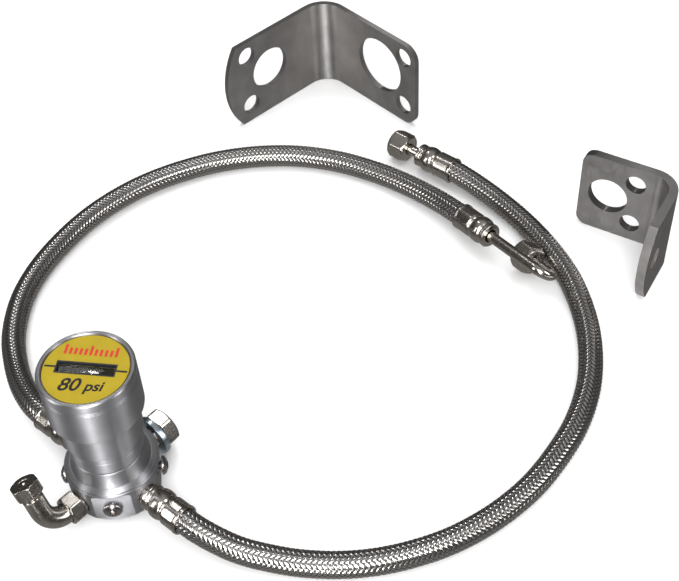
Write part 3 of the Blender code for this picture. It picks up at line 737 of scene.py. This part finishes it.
def braided_hose(name, line, material):
    """A tube whose surface is the woven braid, along a line of evenly spaced points."""
    frames = carried_frames(line)
    centres, sides, ups = (np.array([f[k] for f in frames]) for k in range(3))
    lengths = np.concatenate(([0.0], np.cumsum(np.linalg.norm(np.diff(centres, axis=0), axis=1))))
    around = BRAID_COLUMNS * COLUMN_SAMPLES
    column = np.arange(around + 1) / COLUMN_SAMPLES
    along = lengths / BRAID_PITCH
    relief = braid_relief(column[None, :-1], along[:, None])
    reach = HOSE_RADIUS - (BUNDLE_CROWN + 2.0 * BUNDLE_WAVE) + relief
    angle = 2.0 * np.pi * column[:-1] / BRAID_COLUMNS
    ring = sides[:, None, :] * np.cos(angle)[None, :, None] + ups[:, None, :] * np.sin(angle)[None, :, None]
    verts = (centres[:, None, :] + ring * reach[:, :, None]).reshape(-1, 3)
    count = len(line)
    i, j = np.meshgrid(np.arange(count - 1), np.arange(around), indexing="ij")
    k = (j + 1) % around
    quads = np.stack((i * around + j, i * around + k, (i + 1) * around + k, (i + 1) * around + j), axis=-1)
    faces = quads.reshape(-1, 4).tolist()
    faces.append(list(range(around)))
    faces.append(list(range((count - 1) * around, count * around)))
    mesh = bpy.data.meshes.new(name)
    mesh.from_pydata(verts.tolist(), [], faces)
    corners = np.stack((
        np.stack((column[j], along[i]), -1), np.stack((column[j + 1], along[i]), -1),
        np.stack((column[j + 1], along[i + 1]), -1), np.stack((column[j], along[i + 1]), -1)), axis=-2)
    flat = np.concatenate((corners.reshape(-1), np.zeros(4 * around)))
    layer = mesh.uv_layers.new(name="braid")
    layer.data.foreach_set("uv", flat.astype(np.float32))
    return piece(name, mesh, material, sharp=180.0)


def ferrule(name, place, length, material):
    """A crimped ferrule: collar, groove, bead, groove and a sleeve with eight crimped flats and a lip."""
    bead = [(4.9 + 1.35 * math.sin(math.radians(a)), 6.5 - 3.1 * math.cos(math.radians(a)))
            for a in range(12, 169, 12)]
    outline = fillet([(3.2, 0.0), (5.3, 0.0), (5.6, 0.4), (5.6, 1.3), (5.35, 1.5), (5.5, 1.7), (5.5, 2.3),
                      (5.1, 2.8), (4.9, 3.1)], 0.2)
    outline += bead
    outline += fillet([(5.0, 9.8), (5.45, 10.2), (6.0, 10.9), (6.05, 11.8)], 0.3)
    outline += dense([(6.05, 12.0), (6.05, length - 2.0)], 0.6)
    outline += fillet([(6.05, length - 1.8), (6.05, length - 1.4), (6.25, length - 1.1), (6.25, length - 0.2),
                       (6.05, length), (5.45, length), (5.4, length - 0.4), (5.4, length - 3.0),
                       (3.2, length - 3.2), (3.2, 0.4)], 0.14)
    flats = many_sided(8, 11.8, 0.12)

    def crimp(angle, radius, height):
        return flats(angle, radius, height) if 11.4 < height < length - 1.6 and radius > 5.6 else radius
    return lathe(name, outline, material, place, steps=96, closed=True, shape=crimp)


def make_hoses(materials):
    for side, angle, start, route, end_direction in (
            ("left", LEFT_PORT_ANGLE, LEFT_FERRULE_START, LEFT_ROUTE, LEFT_END_DIRECTION),
            ("right", RIGHT_PORT_ANGLE, RIGHT_FERRULE_START, RIGHT_ROUTE, RIGHT_END_DIRECTION)):
        points = [Vector(point) for point in route]
        knots = [points[0] - outwards(angle) * BRAID_TUCK, points[0]] + points[1:-1]
        knots += [points[-1], points[-1] + end_direction * BRAID_TUCK]
        line = smooth_route(knots, BRAID_PITCH / PITCH_SAMPLES)
        hose = braided_hose(f"{side}_hose", line, materials["hose_braid"])
        stands_for(hose, f"{side}_hose_tube")
        nickel = materials["nickel"]
        place = radial(angle)
        nipple = lathe(f"{side}_nipple", fillet([
            (2.0, start + 5.6), (2.9, start + 5.6), (2.9, start - 0.1), (4.6, start - 0.1),
            (4.6, start - 1.2), (4.1, start - 1.5), (4.1, 20.2), (4.6, 20.0), (4.6, 18.9), (4.1, 18.6),
            (4.0, NIPPLE_FOOT), (2.0, NIPPLE_FOOT)], 0.15, closed=True), nickel, place, steps=64, closed=True)
        stands_for(nipple, f"{side}_hose_nipple")
        inlet = ferrule(f"{side}_inlet_sleeve", place @ Matrix.Translation((0.0, 0.0, start)),
                        INLET_FERRULE_LENGTH, nickel)
        stands_for(inlet, f"{side}_inlet_ferrule")
        tip = points[-1] + end_direction * GAP + end_direction * END_FERRULE_LENGTH
        end = ferrule(f"{side}_end_sleeve", frame_along(tip, -end_direction), END_FERRULE_LENGTH, nickel)
        stands_for(end, f"{side}_end_ferrule")
        make_end = make_hook_end if side == "left" else make_straight_end
        fittings = make_end(tip, materials)


def far_nut(side, start, direction, materials):
    """A swivelling hexagon nut with deep chamfers at both ends and a threaded mouth."""
    corner = NUT_FLATS / math.sqrt(3.0)
    near = NUT_FLATS / 2.0 - 0.3
    outline = fillet([
        (TUBE_RADIUS + 0.35, 0.0), (near, 0.0), (corner, 1.9), (corner, NUT_LENGTH - 1.9), (near, NUT_LENGTH),
        (4.6, NUT_LENGTH), (4.3, NUT_LENGTH - 0.4), (4.3, 2.4), (TUBE_RADIUS + 0.35, 2.4)], 0.25, closed=True)
    side_shape = many_sided(6, NUT_FLATS, 0.3)
    thread = threaded(0.8, 0.25, 5.8, NUT_LENGTH - 0.5, 4.2)

    def shape(angle, radius, height):
        return side_shape(angle, radius, height) if radius > 5.0 else thread(angle, radius, height)
    nut = lathe(f"{side}_swivel_nut", dense(outline, 0.3, closed=True), materials["nickel"],
                frame_along(start, direction), steps=96, closed=True, shape=shape)
    return stands_for(nut, f"{side}_nut", f"{side}_nut")


def make_straight_end(end, materials):
    run = RIGHT_END_DIRECTION
    points = [end - run * TUBE_INSIDE_FERRULE, end, end + run * (STUB_VISIBLE + NUT_CLEARANCE)]
    stub = tube("straight_tail", points, TUBE_RADIUS, materials["nickel"])
    stands_for(stub, "straight_stub")
    nut = far_nut("straight", end + run * STUB_VISIBLE, run, materials)
    return stub, nut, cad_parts["straight_gasket"]


def make_hook_end(end, materials):
    run = LEFT_END_DIRECTION
    down = (HOOK_SIDE - run * HOOK_SIDE.dot(run)).normalized()
    centre = end + run * HOOK_STRAIGHT + down * HOOK_BEND_RADIUS
    points = [end - run * TUBE_INSIDE_FERRULE, end, end + run * HOOK_STRAIGHT * 0.5]
    points += arc(centre, -down, run, HOOK_BEND_RADIUS, 0.0, 180.0, 36)
    points.append(points[-1] - run * (HOOK_RETURN + NUT_CLEARANCE))
    hook = tube("hook_tail", points, TUBE_RADIUS, materials["nickel"])
    stands_for(hook, "hook_tube")
    nut = far_nut("hook", points[-1] + run * NUT_CLEARANCE, -run, materials)
    return hook, nut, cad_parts["hook_gasket"]


# Regulator

def make_body(materials):
    flare = [(NECK_RADIUS + 1.5 * t ** 2, BODY_TOP - 0.6 - (BODY_TOP - 0.6 - RING_TOP) * t)
             for t in (i / 8 for i in range(9))]
    profile = [(0.0, CHAMBER_FLOOR), (CHAMBER_RADIUS, CHAMBER_FLOOR), (CHAMBER_RADIUS, SPIGOT_FLOOR),
               (SPIGOT_RADIUS + GAP, SPIGOT_FLOOR), (SPIGOT_RADIUS + GAP, BODY_TOP)]
    profile += fillet([(NECK_RADIUS - 0.9, BODY_TOP), (NECK_RADIUS - 0.2, BODY_TOP), flare[0]], 0.3)
    profile += flare[1:-1]
    profile += fillet([
        flare[-1], (RING_TOP_RADIUS + 0.2, RING_TOP), (RING_RADIUS - 0.5, RING_BOTTOM + 0.35),
        (RING_RADIUS, RING_BOTTOM), (RING_RADIUS, RING_BOTTOM - 0.3), (RING_RADIUS + 0.1, RING_BOTTOM - 0.6),
        (BODY_RADIUS, RING_BOTTOM - 0.75), (BODY_RADIUS, BODY_BASE_CHAMFER), (BODY_BASE_RADIUS, 0.15),
        (BODY_BASE_RADIUS - 0.3, 0.0), (0.0, 0.0)], 0.35, count=6)
    body = lathe("regulator_base", profile, materials["turned_aluminium"], steps=160)
    cutters = []
    for angle in SCREW_ANGLES:
        cutters.append(block("flat", (6.0, SCREW_FLAT_WIDTH, 24.0), (SCREW_FLAT + 3.0, 0.0, 6.0), None,
                             about_z(angle), corner=2.6))
        cutters.append(drill(SCREW_BORE, SCREW_BORE_START, SCREW_BORE_END, radial(angle)))
    for angle, height, bore in ((LEFT_PORT_ANGLE, PORT_HEIGHT, PORT_BORE),
                                (RIGHT_PORT_ANGLE, PORT_HEIGHT, PORT_BORE),
                                (ELBOW_ANGLE, ELBOW_HEIGHT, ELBOW_TUBE_RADIUS + 0.35)):
        cutters.append(drill(bore, PASSAGE_START, DRILL_END, radial(angle, height)))
    cutters.append(drill(BOLT_SHANK_RADIUS + GAP, BOLT_TIP - GAP, DRILL_END, radial(BOLT_ANGLE)))
    cut(body, cutters, 0.2)
    stands_for(body, "regulator_body")


def drill(radius, low, high, place):
    return lathe("drill", [(0.0, low), (radius, low), (radius, high), (0.0, high)], None, place, steps=48)


def make_housing(materials):
    groove = [(NECK_RADIUS, 34.0), (NECK_RADIUS - 0.12, 33.8), (NECK_RADIUS, 33.6)]
    profile = fillet([
        (CHAMBER_RADIUS, HOUSING_TOP), (HOUSING_TOP_RADIUS, HOUSING_TOP),
        (HOUSING_TOP_RADIUS, CAP_BOTTOM - 0.3), (NECK_RADIUS, CAP_BOTTOM - 0.3), *groove,
        (NECK_RADIUS, NECK_BOTTOM + 0.4), (NECK_RADIUS - 0.4, NECK_BOTTOM), (SPIGOT_RADIUS, NECK_BOTTOM),
        (SPIGOT_RADIUS, SEAL_HIGH), (SEAL_GROOVE_RADIUS, SEAL_HIGH), (SEAL_GROOVE_RADIUS, SEAL_LOW),
        (SPIGOT_RADIUS, SEAL_LOW),
        (SPIGOT_RADIUS, SPIGOT_FLOOR + GAP), (CHAMBER_RADIUS, SPIGOT_FLOOR + GAP)], 0.2, closed=True)
    housing = lathe("neck_housing", profile, materials["turned_aluminium"], steps=128, closed=True)
    stands_for(housing, "spring_housing")


def make_cap(materials):
    rim = LABEL_RADIUS + 0.3
    outer = [(rim, RECESS_FLOOR), (rim, CAP_TOP - 0.45), (rim + 0.5, CAP_TOP - 0.05),
             (rim + 0.95, CAP_TOP - 0.05), (rim + 1.05, CAP_TOP - 0.25), (rim + 1.15, CAP_TOP),
             (CAP_RADIUS - 0.55, CAP_TOP), (CAP_RADIUS, CAP_TOP - 0.55)]
    for depth in (4.2, 4.9, 5.6):
        outer += [(CAP_RADIUS, CAP_TOP - depth + 0.12), (CAP_RADIUS - 0.1, CAP_TOP - depth),
                  (CAP_RADIUS, CAP_TOP - depth - 0.12)]
    outer += [(CAP_RADIUS, CAP_STEP + 0.5), (CAP_RADIUS - 0.3, CAP_STEP),
              (CAP_LOWER_RADIUS + 0.2, CAP_STEP - 1.2), (CAP_LOWER_RADIUS, CAP_STEP - 1.6),
              (CAP_LOWER_RADIUS, CAP_BOTTOM + 1.1), (CAP_LOWER_RADIUS - 0.7, CAP_BOTTOM),
              (CAP_THREAD_RADIUS, CAP_BOTTOM), (CAP_THREAD_RADIUS, 52.6), (CAP_BORE, 54.6),
              (CAP_BORE, CAP_ROOF)]
    profile = [(0.0, RECESS_FLOOR)] + fillet([(rim - 1.0, RECESS_FLOOR)] + outer, 0.25) + [(0.0, CAP_ROOF)]
    cap = lathe("gauge_cap", profile, materials["turned_aluminium"], steps=160)
    cut(cap, [block("slot", (SLOT_LENGTH, SLOT_WIDTH, 6.0), (0.0, 0.0, 71.0), None, WINDOW_TURN)], 0.08)
    stands_for(cap, "regulator_cap")
    make_label(materials)


def make_label(materials):
    """The printed disc, its ink, and the window with its black surround."""
    low, high = RECESS_FLOOR + 0.25, RECESS_FLOOR + 0.65
    disc = lathe("gauge_label", [(0.0, low)] + fillet([(LABEL_RADIUS, low), (LABEL_RADIUS, high - 0.08),
                                                       (LABEL_RADIUS - 0.08, high)], 0.05) + [(0.0, high)],
                 materials["label"], steps=128)
    cut(disc, [block("label_slot", (SLOT_LENGTH + 0.4, SLOT_WIDTH + 0.4, 4.0), (0.0, 0.0, 72.0), None,
                     WINDOW_TURN)], 0.04)
    stands_for(disc, "label_disc")
    lens = block("window_glass", (SLOT_LENGTH - 0.6, SLOT_WIDTH - 0.6, 1.2), (0.0, 0.0, LENS_CENTRE),
                 materials["lens"], WINDOW_TURN, edge=0.15)
    stands_for(lens, "window_lens")
    for name, grow, thick, middle, wall in (("window_liner", -0.04, 1.45, 72.28, 0.33),
                                            ("window_rim", 0.5, 0.12, high + 0.08, 0.42)):
        length, width = SLOT_LENGTH + grow, SLOT_WIDTH + grow
        ring = block(name, (length, width, thick), (0.0, 0.0, middle), materials["black_plastic"],
                     WINDOW_TURN)
        inside = (length - 2.0 * wall, width - 2.0 * wall, 4.0)
        cut(ring, [block("inside", inside, (0.0, 0.0, middle), None, WINDOW_TURN)], 0.04)
        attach(ring, "regulator")
    ink_height, ink_thickness = high + 0.02, 0.03
    line = LABEL_RADIUS - 0.5 - SLOT_LENGTH / 2.0
    for name, side in (("left", -1.0), ("right", 1.0)):
        bar = block(f"{name}_index_line", (line, 0.8, ink_thickness),
                    (side * (SLOT_LENGTH + line) / 2.0, 0.0, ink_height), materials["black_ink"], WINDOW_TURN)
        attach(bar, "regulator")
    for i in range(TICKS):
        tall = 4.4 if i % 5 == 0 else 3.0
        spot = ((i - (TICKS - 1) / 2.0) * TICK_SPACING, 6.2 + tall / 2.0, ink_height)
        tick = block(f"scale_tick_{i + 1}", (1.0, tall, ink_thickness), spot, materials["red_ink"],
                     WINDOW_TURN)
        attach(tick, "regulator")
    for name, text, size, along in (("pressure_figure", "80", 7.9, -4.9), ("pressure_unit", "psi", 6.1, 4.3)):
        words = bpy.data.curves.new(name, "FONT")
        words.body = text
        words.size = size * MM
        words.shear = 0.25
        words.offset = 0.00014
        words.extrude = 0.000012
        words.align_x = "CENTER"
        words.materials.append(materials["black_ink"])
        figure = add_object(name, words)
        spot = TEXT_TURN @ Vector((along, TEXT_LINE, ink_height))
        figure.matrix_world = Matrix.Translation(spot * MM) @ TEXT_TURN
        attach(figure, "regulator")


def make_screws(materials):
    """Button-head screws: a domed head with a hexagon socket on a threaded shank."""
    seat, shank = SCREW_SEAT, SCREW_SHANK_RADIUS
    dome = [(SCREW_HEAD_RADIUS * math.cos(math.radians(a)), seat + 0.35 + 1.85 * math.sin(math.radians(a)))
            for a in range(0, 66, 8)]
    profile = [(0.0, SCREW_TIP), (shank, SCREW_TIP)]
    profile += dense([(shank, SCREW_TIP + 0.3), (shank, seat - 0.1)], 0.12)
    profile += [(3.5, seat), (3.72, seat + 0.1)] + dome + [(1.52, seat + 2.2), (1.42, seat + 2.1)]
    profile += [(1.40, seat + 1.0), (0.0, seat + 0.8)]
    socket = many_sided(6, 2.5, 0.08)
    thread = threaded(0.7, 0.22, SCREW_TIP + 0.3, seat - 0.1, 1.6)

    def shape(angle, radius, height):
        return socket(angle, 9.0, height) if radius < 1.5 and height > seat else thread(angle, radius, height)

    for i, angle in enumerate(SCREW_ANGLES):
        screw = lathe(f"button_screw_{i + 1}", profile, materials["screw_steel"], radial(angle), steps=72,
                      shape=shape)
        stands_for(screw, f"port_screw_{i + 1}")


def make_bolt(materials):
    place = radial(BOLT_ANGLE)
    low, high = BOLT_HEAD_LOW, BOLT_HEAD_LOW + BOLT_HEAD_HEIGHT
    shank = BOLT_SHANK_RADIUS
    corner = BOLT_FLATS / math.sqrt(3.0)
    near = BOLT_FLATS / 2.0
    outline = [(0.0, BOLT_TIP), (shank - 0.5, BOLT_TIP)]
    outline += dense([(shank, BOLT_TIP + 0.4), (shank, low - 0.05)], 0.16)
    outline += dense(fillet([
        (shank + 0.05, low), (near - 0.5, low), (near - 0.3, low + 0.25), (corner, low + 0.35),
        (corner, high - 1.0), (near - 0.3, high), (near - 1.0, high - 0.05), (0.0, high - 0.05)], 0.15), 0.35)
    hexagon = many_sided(6, BOLT_FLATS, 0.25)
    thread = threaded(1.5, 0.5, BOLT_TIP + 0.4, low - 0.1, shank - 0.3)

    def shape(angle, radius, height):
        return hexagon(angle, radius, height) if height > low else thread(angle, radius, height)
    bolt = lathe("hexagon_bolt", outline, materials["nickel"], place, steps=96, shape=shape)
    stands_for(bolt, "mounting_bolt")
    top = low - GAP
    bottom = top - WASHER_THICKNESS
    bore = shank + 0.35
    washer = lathe("split_washer", fillet([(bore, top), (WASHER_RADIUS, top), (WASHER_RADIUS, bottom),
                                           (bore, bottom)], 0.25, closed=True),
                   materials["zinc_plate"], place, steps=96, closed=True)
    slant = place @ about_z(20.0) @ Matrix.Rotation(0.25, 4, "X")
    cut(washer, [block("split", (6.0, 0.9, 6.0), (7.0, 0.0, (top + bottom) / 2.0), None, slant)], 0.1)
    stands_for(washer, "lock_washer")


def make_elbow(materials):
    nickel = materials["nickel"]
    place = radial(ELBOW_ANGLE, ELBOW_HEIGHT)
    low, high, flats = ELBOW_NUT_LOW, ELBOW_NUT_TOP, ELBOW_NUT_FLATS
    corner = flats / math.sqrt(3.0)
    outline = fillet([(ELBOW_TUBE_RADIUS + GAP, low), (flats / 2.0 - 0.2, low), (corner, low + 0.9),
                      (corner, high - 0.9), (flats / 2.0 - 0.2, high), (ELBOW_TUBE_RADIUS + GAP, high)], 0.18,
                     closed=True)
    nut = lathe("elbow_hexagon", dense(outline, 0.3, closed=True), nickel, place, steps=96, closed=True,
                shape=many_sided(6, flats, 0.22))
    stands_for(nut, "elbow_nut")
    out = outwards(ELBOW_ANGLE)
    side = Vector((-out.y, out.x, 0.0))
    lean = math.radians(ELBOW_LEAN)
    up = Vector((0.0, 0.0, math.cos(lean))) - side * math.sin(lean)
    axis = Vector((0.0, 0.0, ELBOW_HEIGHT))
    bend = axis + out * (ELBOW_SOCKET + ELBOW_OUT) + up * ELBOW_BEND_RADIUS
    points = [axis + out * 14.4, axis + out * 19.0, axis + out * 22.0]
    points += arc(bend, -up, out, ELBOW_BEND_RADIUS, 0.0, 90.0, 28)
    foot = points[-1]
    points += [foot + up * (ELBOW_LEG * 0.5), foot + up * ELBOW_LEG]
    elbow = tube("elbow_tube", points, ELBOW_TUBE_RADIUS, nickel, sides=56)
    stands_for(elbow, "inflation_elbow")
    head = frame_along(foot + up * (ELBOW_LEG + GAP), up, ELBOW_HEAD_SPIN)
    top, width = ELBOW_HEAD_LENGTH, ELBOW_HEAD_FLATS
    corner = width / math.sqrt(3.0)
    outline = [(0.0, -0.15)] + dense(fillet([
        (3.4, -0.15), (3.9, 0.0), (corner, 1.6), (corner, top - 0.5), (width / 2.0 + 0.1, top),
        (2.75, top), (2.6, top - 0.15), (2.6, 1.2)], 0.15), 0.3) + [(0.0, 1.2)]
    valve = lathe("valve_hexagon", outline, nickel, head, steps=96, shape=many_sided(6, width, 0.22))
    stands_for(valve, "valve_head")
    core = lathe("valve_insert", fillet([
        (0.95, top - 0.2), (2.0, top - 0.12), (2.5, top - 0.2), (2.5, 1.6), (0.95, 1.6)], 0.12, closed=True),
        nickel, head, steps=48, closed=True)
    stands_for(core, "valve_core")


# Brackets

def crowned_end(edge, outward, rise, crown):
    """An arched end of a strip, from bottom to top."""
    radius = (rise * rise / 4.0 + crown * crown) / (2.0 * crown)
    half = math.asin(rise / 2.0 / radius)
    turns = [half * (i / 16.0) for i in range(-16, 17)]
    return [(edge + outward * (radius * math.cos(a) - radius), rise / 2.0 + radius * math.sin(a))
            for a in turns]


def square_end(edge, outward, rise, corner):
    """A straight end with rounded corners, from bottom to top."""
    points = []
    for centre_up, start in ((corner, -90.0), (rise - corner, 0.0)):
        for i in range(13):
            a = math.radians(start + 7.5 * i)
            along = edge + outward * (corner * math.cos(a) - corner)
            points.append((along, centre_up + corner * math.sin(a)))
    return points


def bent_plate(name, node, material, plate, bend, height, left, right, place):
    """An L of strip. A flange is (length, end shape, end size, holes), a hole (distance, height, radius)."""
    arc_length = math.pi / 2.0 * (bend + plate / 2.0)
    low_end = bend - left[0]
    high_end = arc_length + right[0] - bend
    curve = bpy.data.curves.new(name, "CURVE")
    curve.dimensions = "2D"
    curve.fill_mode = "BOTH"
    curve.extrude = plate / 2.0

    def ring(points):
        spline = curve.splines.new("POLY")
        spline.points.add(len(points) - 1)
        for spot, (along, up) in zip(spline.points, points):
            spot.co = (along, up, 0.0, 1.0)
        spline.use_cyclic_u = True

    ring(right[1](high_end, 1.0, height, right[2]) + left[1](low_end, -1.0, height, left[2])[::-1])
    spots = [(bend - distance, up, radius) for distance, up, radius in left[3]]
    spots += [(arc_length + distance - bend, up, radius) for distance, up, radius in right[3]]
    for along, up, radius in spots:
        turns = [2.0 * math.pi * i / 64 for i in range(64)]
        ring([(along + radius * math.cos(a), up + radius * math.sin(a)) for a in turns])
    flat = add_object(name + "_flat", curve)
    mesh = evaluated_mesh(flat)
    bpy.data.objects.remove(flat)
    grid = bmesh.new()
    grid.from_mesh(mesh)
    bmesh.ops.remove_doubles(grid, verts=grid.verts[:], dist=0.001)
    bmesh.ops.dissolve_limit(grid, angle_limit=0.01, verts=grid.verts[:], edges=grid.edges[:])
    for i in range(BEND_SLICES + 1):
        bmesh.ops.bisect_plane(grid, geom=grid.verts[:] + grid.edges[:] + grid.faces[:], dist=0.0001,
                               plane_co=(arc_length * i / BEND_SLICES, 0.0, 0.0), plane_no=(1.0, 0.0, 0.0))
    middle = bend + plate / 2.0
    for vert in grid.verts:
        along, up, off = vert.co
        if along <= 0.0:
            vert.co = (along - bend, plate / 2.0 + off, up)
        elif along >= arc_length:
            vert.co = (plate / 2.0 + off, arc_length - along - bend, up)
        else:
            angle = along / middle
            reach = middle + off
            vert.co = (reach * math.sin(angle) - bend, reach * math.cos(angle) - bend, up)
    grid.to_mesh(mesh)
    grid.free()
    mesh.materials.clear()
    thing = piece(name, mesh, material, place)
    round_edges(thing, PLATE_EDGE, 3, 50.0)
    stands_for(thing, node, node)


def make_brackets(materials):
    steel = materials["bracket_steel"]
    bent_plate("large_angle_plate", "large_bracket", steel, 2.6, 11.0, 47.2,
               (66.6, crowned_end, 7.5, ((38.8, 25.2, 11.0), (52.8, 39.3, 5.0), (52.8, 9.8, 5.0))),
               (65.2, square_end, 8.0, ((40.2, 26.4, 14.8), (56.9, 39.3, 5.0), (56.9, 10.2, 5.0))),
               Matrix.Translation((92.8, 259.1, 0.0)) @ about_z(40.9))
    bent_plate("small_angle_plate", "small_bracket", steel, 4.0, 9.0, 42.4,
               (42.4, square_end, 5.5, ((28.8, 21.4, 9.3), (16.8, 33.0, 4.7), (16.8, 9.6, 4.7))),
               (38.5, crowned_end, 7.5, ((27.5, 21.2, 4.8),)),
               Matrix.Translation((240.6, 112.5, 0.0)) @ about_z(-32.5))


# Inner pieces

def make_spring(materials):
    """The coil between the piston and the adjuster, which shortens as the piston rises."""
    low = PISTON_TOP + GAP + SPRING_WIRE_RADIUS
    high = ADJUSTER_BOTTOM - GAP - SPRING_WIRE_RADIUS
    count = SPRING_TURNS * SPRING_TURN_POINTS
    level = SPRING_TURN_POINTS // 2
    points = []
    for i in range(count + 1):
        angle = 2.0 * math.pi * i / SPRING_TURN_POINTS
        climb = min(1.0, max(0.0, (i - level) / (count - 2 * level)))
        points.append(Vector((SPRING_RADIUS * math.cos(angle), SPRING_RADIUS * math.sin(angle),
                              low + (high - low) * climb)))
    coil = tube("coil_spring", points, SPRING_WIRE_RADIUS, materials["spring_steel"], sides=12, ends=0.1)
    stands_for(coil, "main_spring")
    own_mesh(coil)


def finish_inner_pieces(materials):
    """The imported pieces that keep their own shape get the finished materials."""
    finishes = {
        "housing_seal": "rubber", "pressure_piston": "turned_aluminium", "piston_seal": "rubber",
        "spring_adjuster": "brass", "indicator_rod": "spring_steel",
        "indicator_bar": "indicator", "indicator_shroud": "black_plastic", "valve_pin": "nickel",
        "hook_gasket": "rubber", "straight_gasket": "rubber",
    }
    for node, finish in finishes.items():
        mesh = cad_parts[node].data
        mesh.materials.clear()
        mesh.materials.append(materials[finish])


def main():
    make_camera()
    materials = make_materials()
    make_hoses(materials)
    make_body(materials)
    make_housing(materials)
    make_cap(materials)
    make_screws(materials)
    make_bolt(materials)
    make_elbow(materials)
    make_brackets(materials)
    make_spring(materials)
    finish_inner_pieces(materials)
    make_studio()


main()
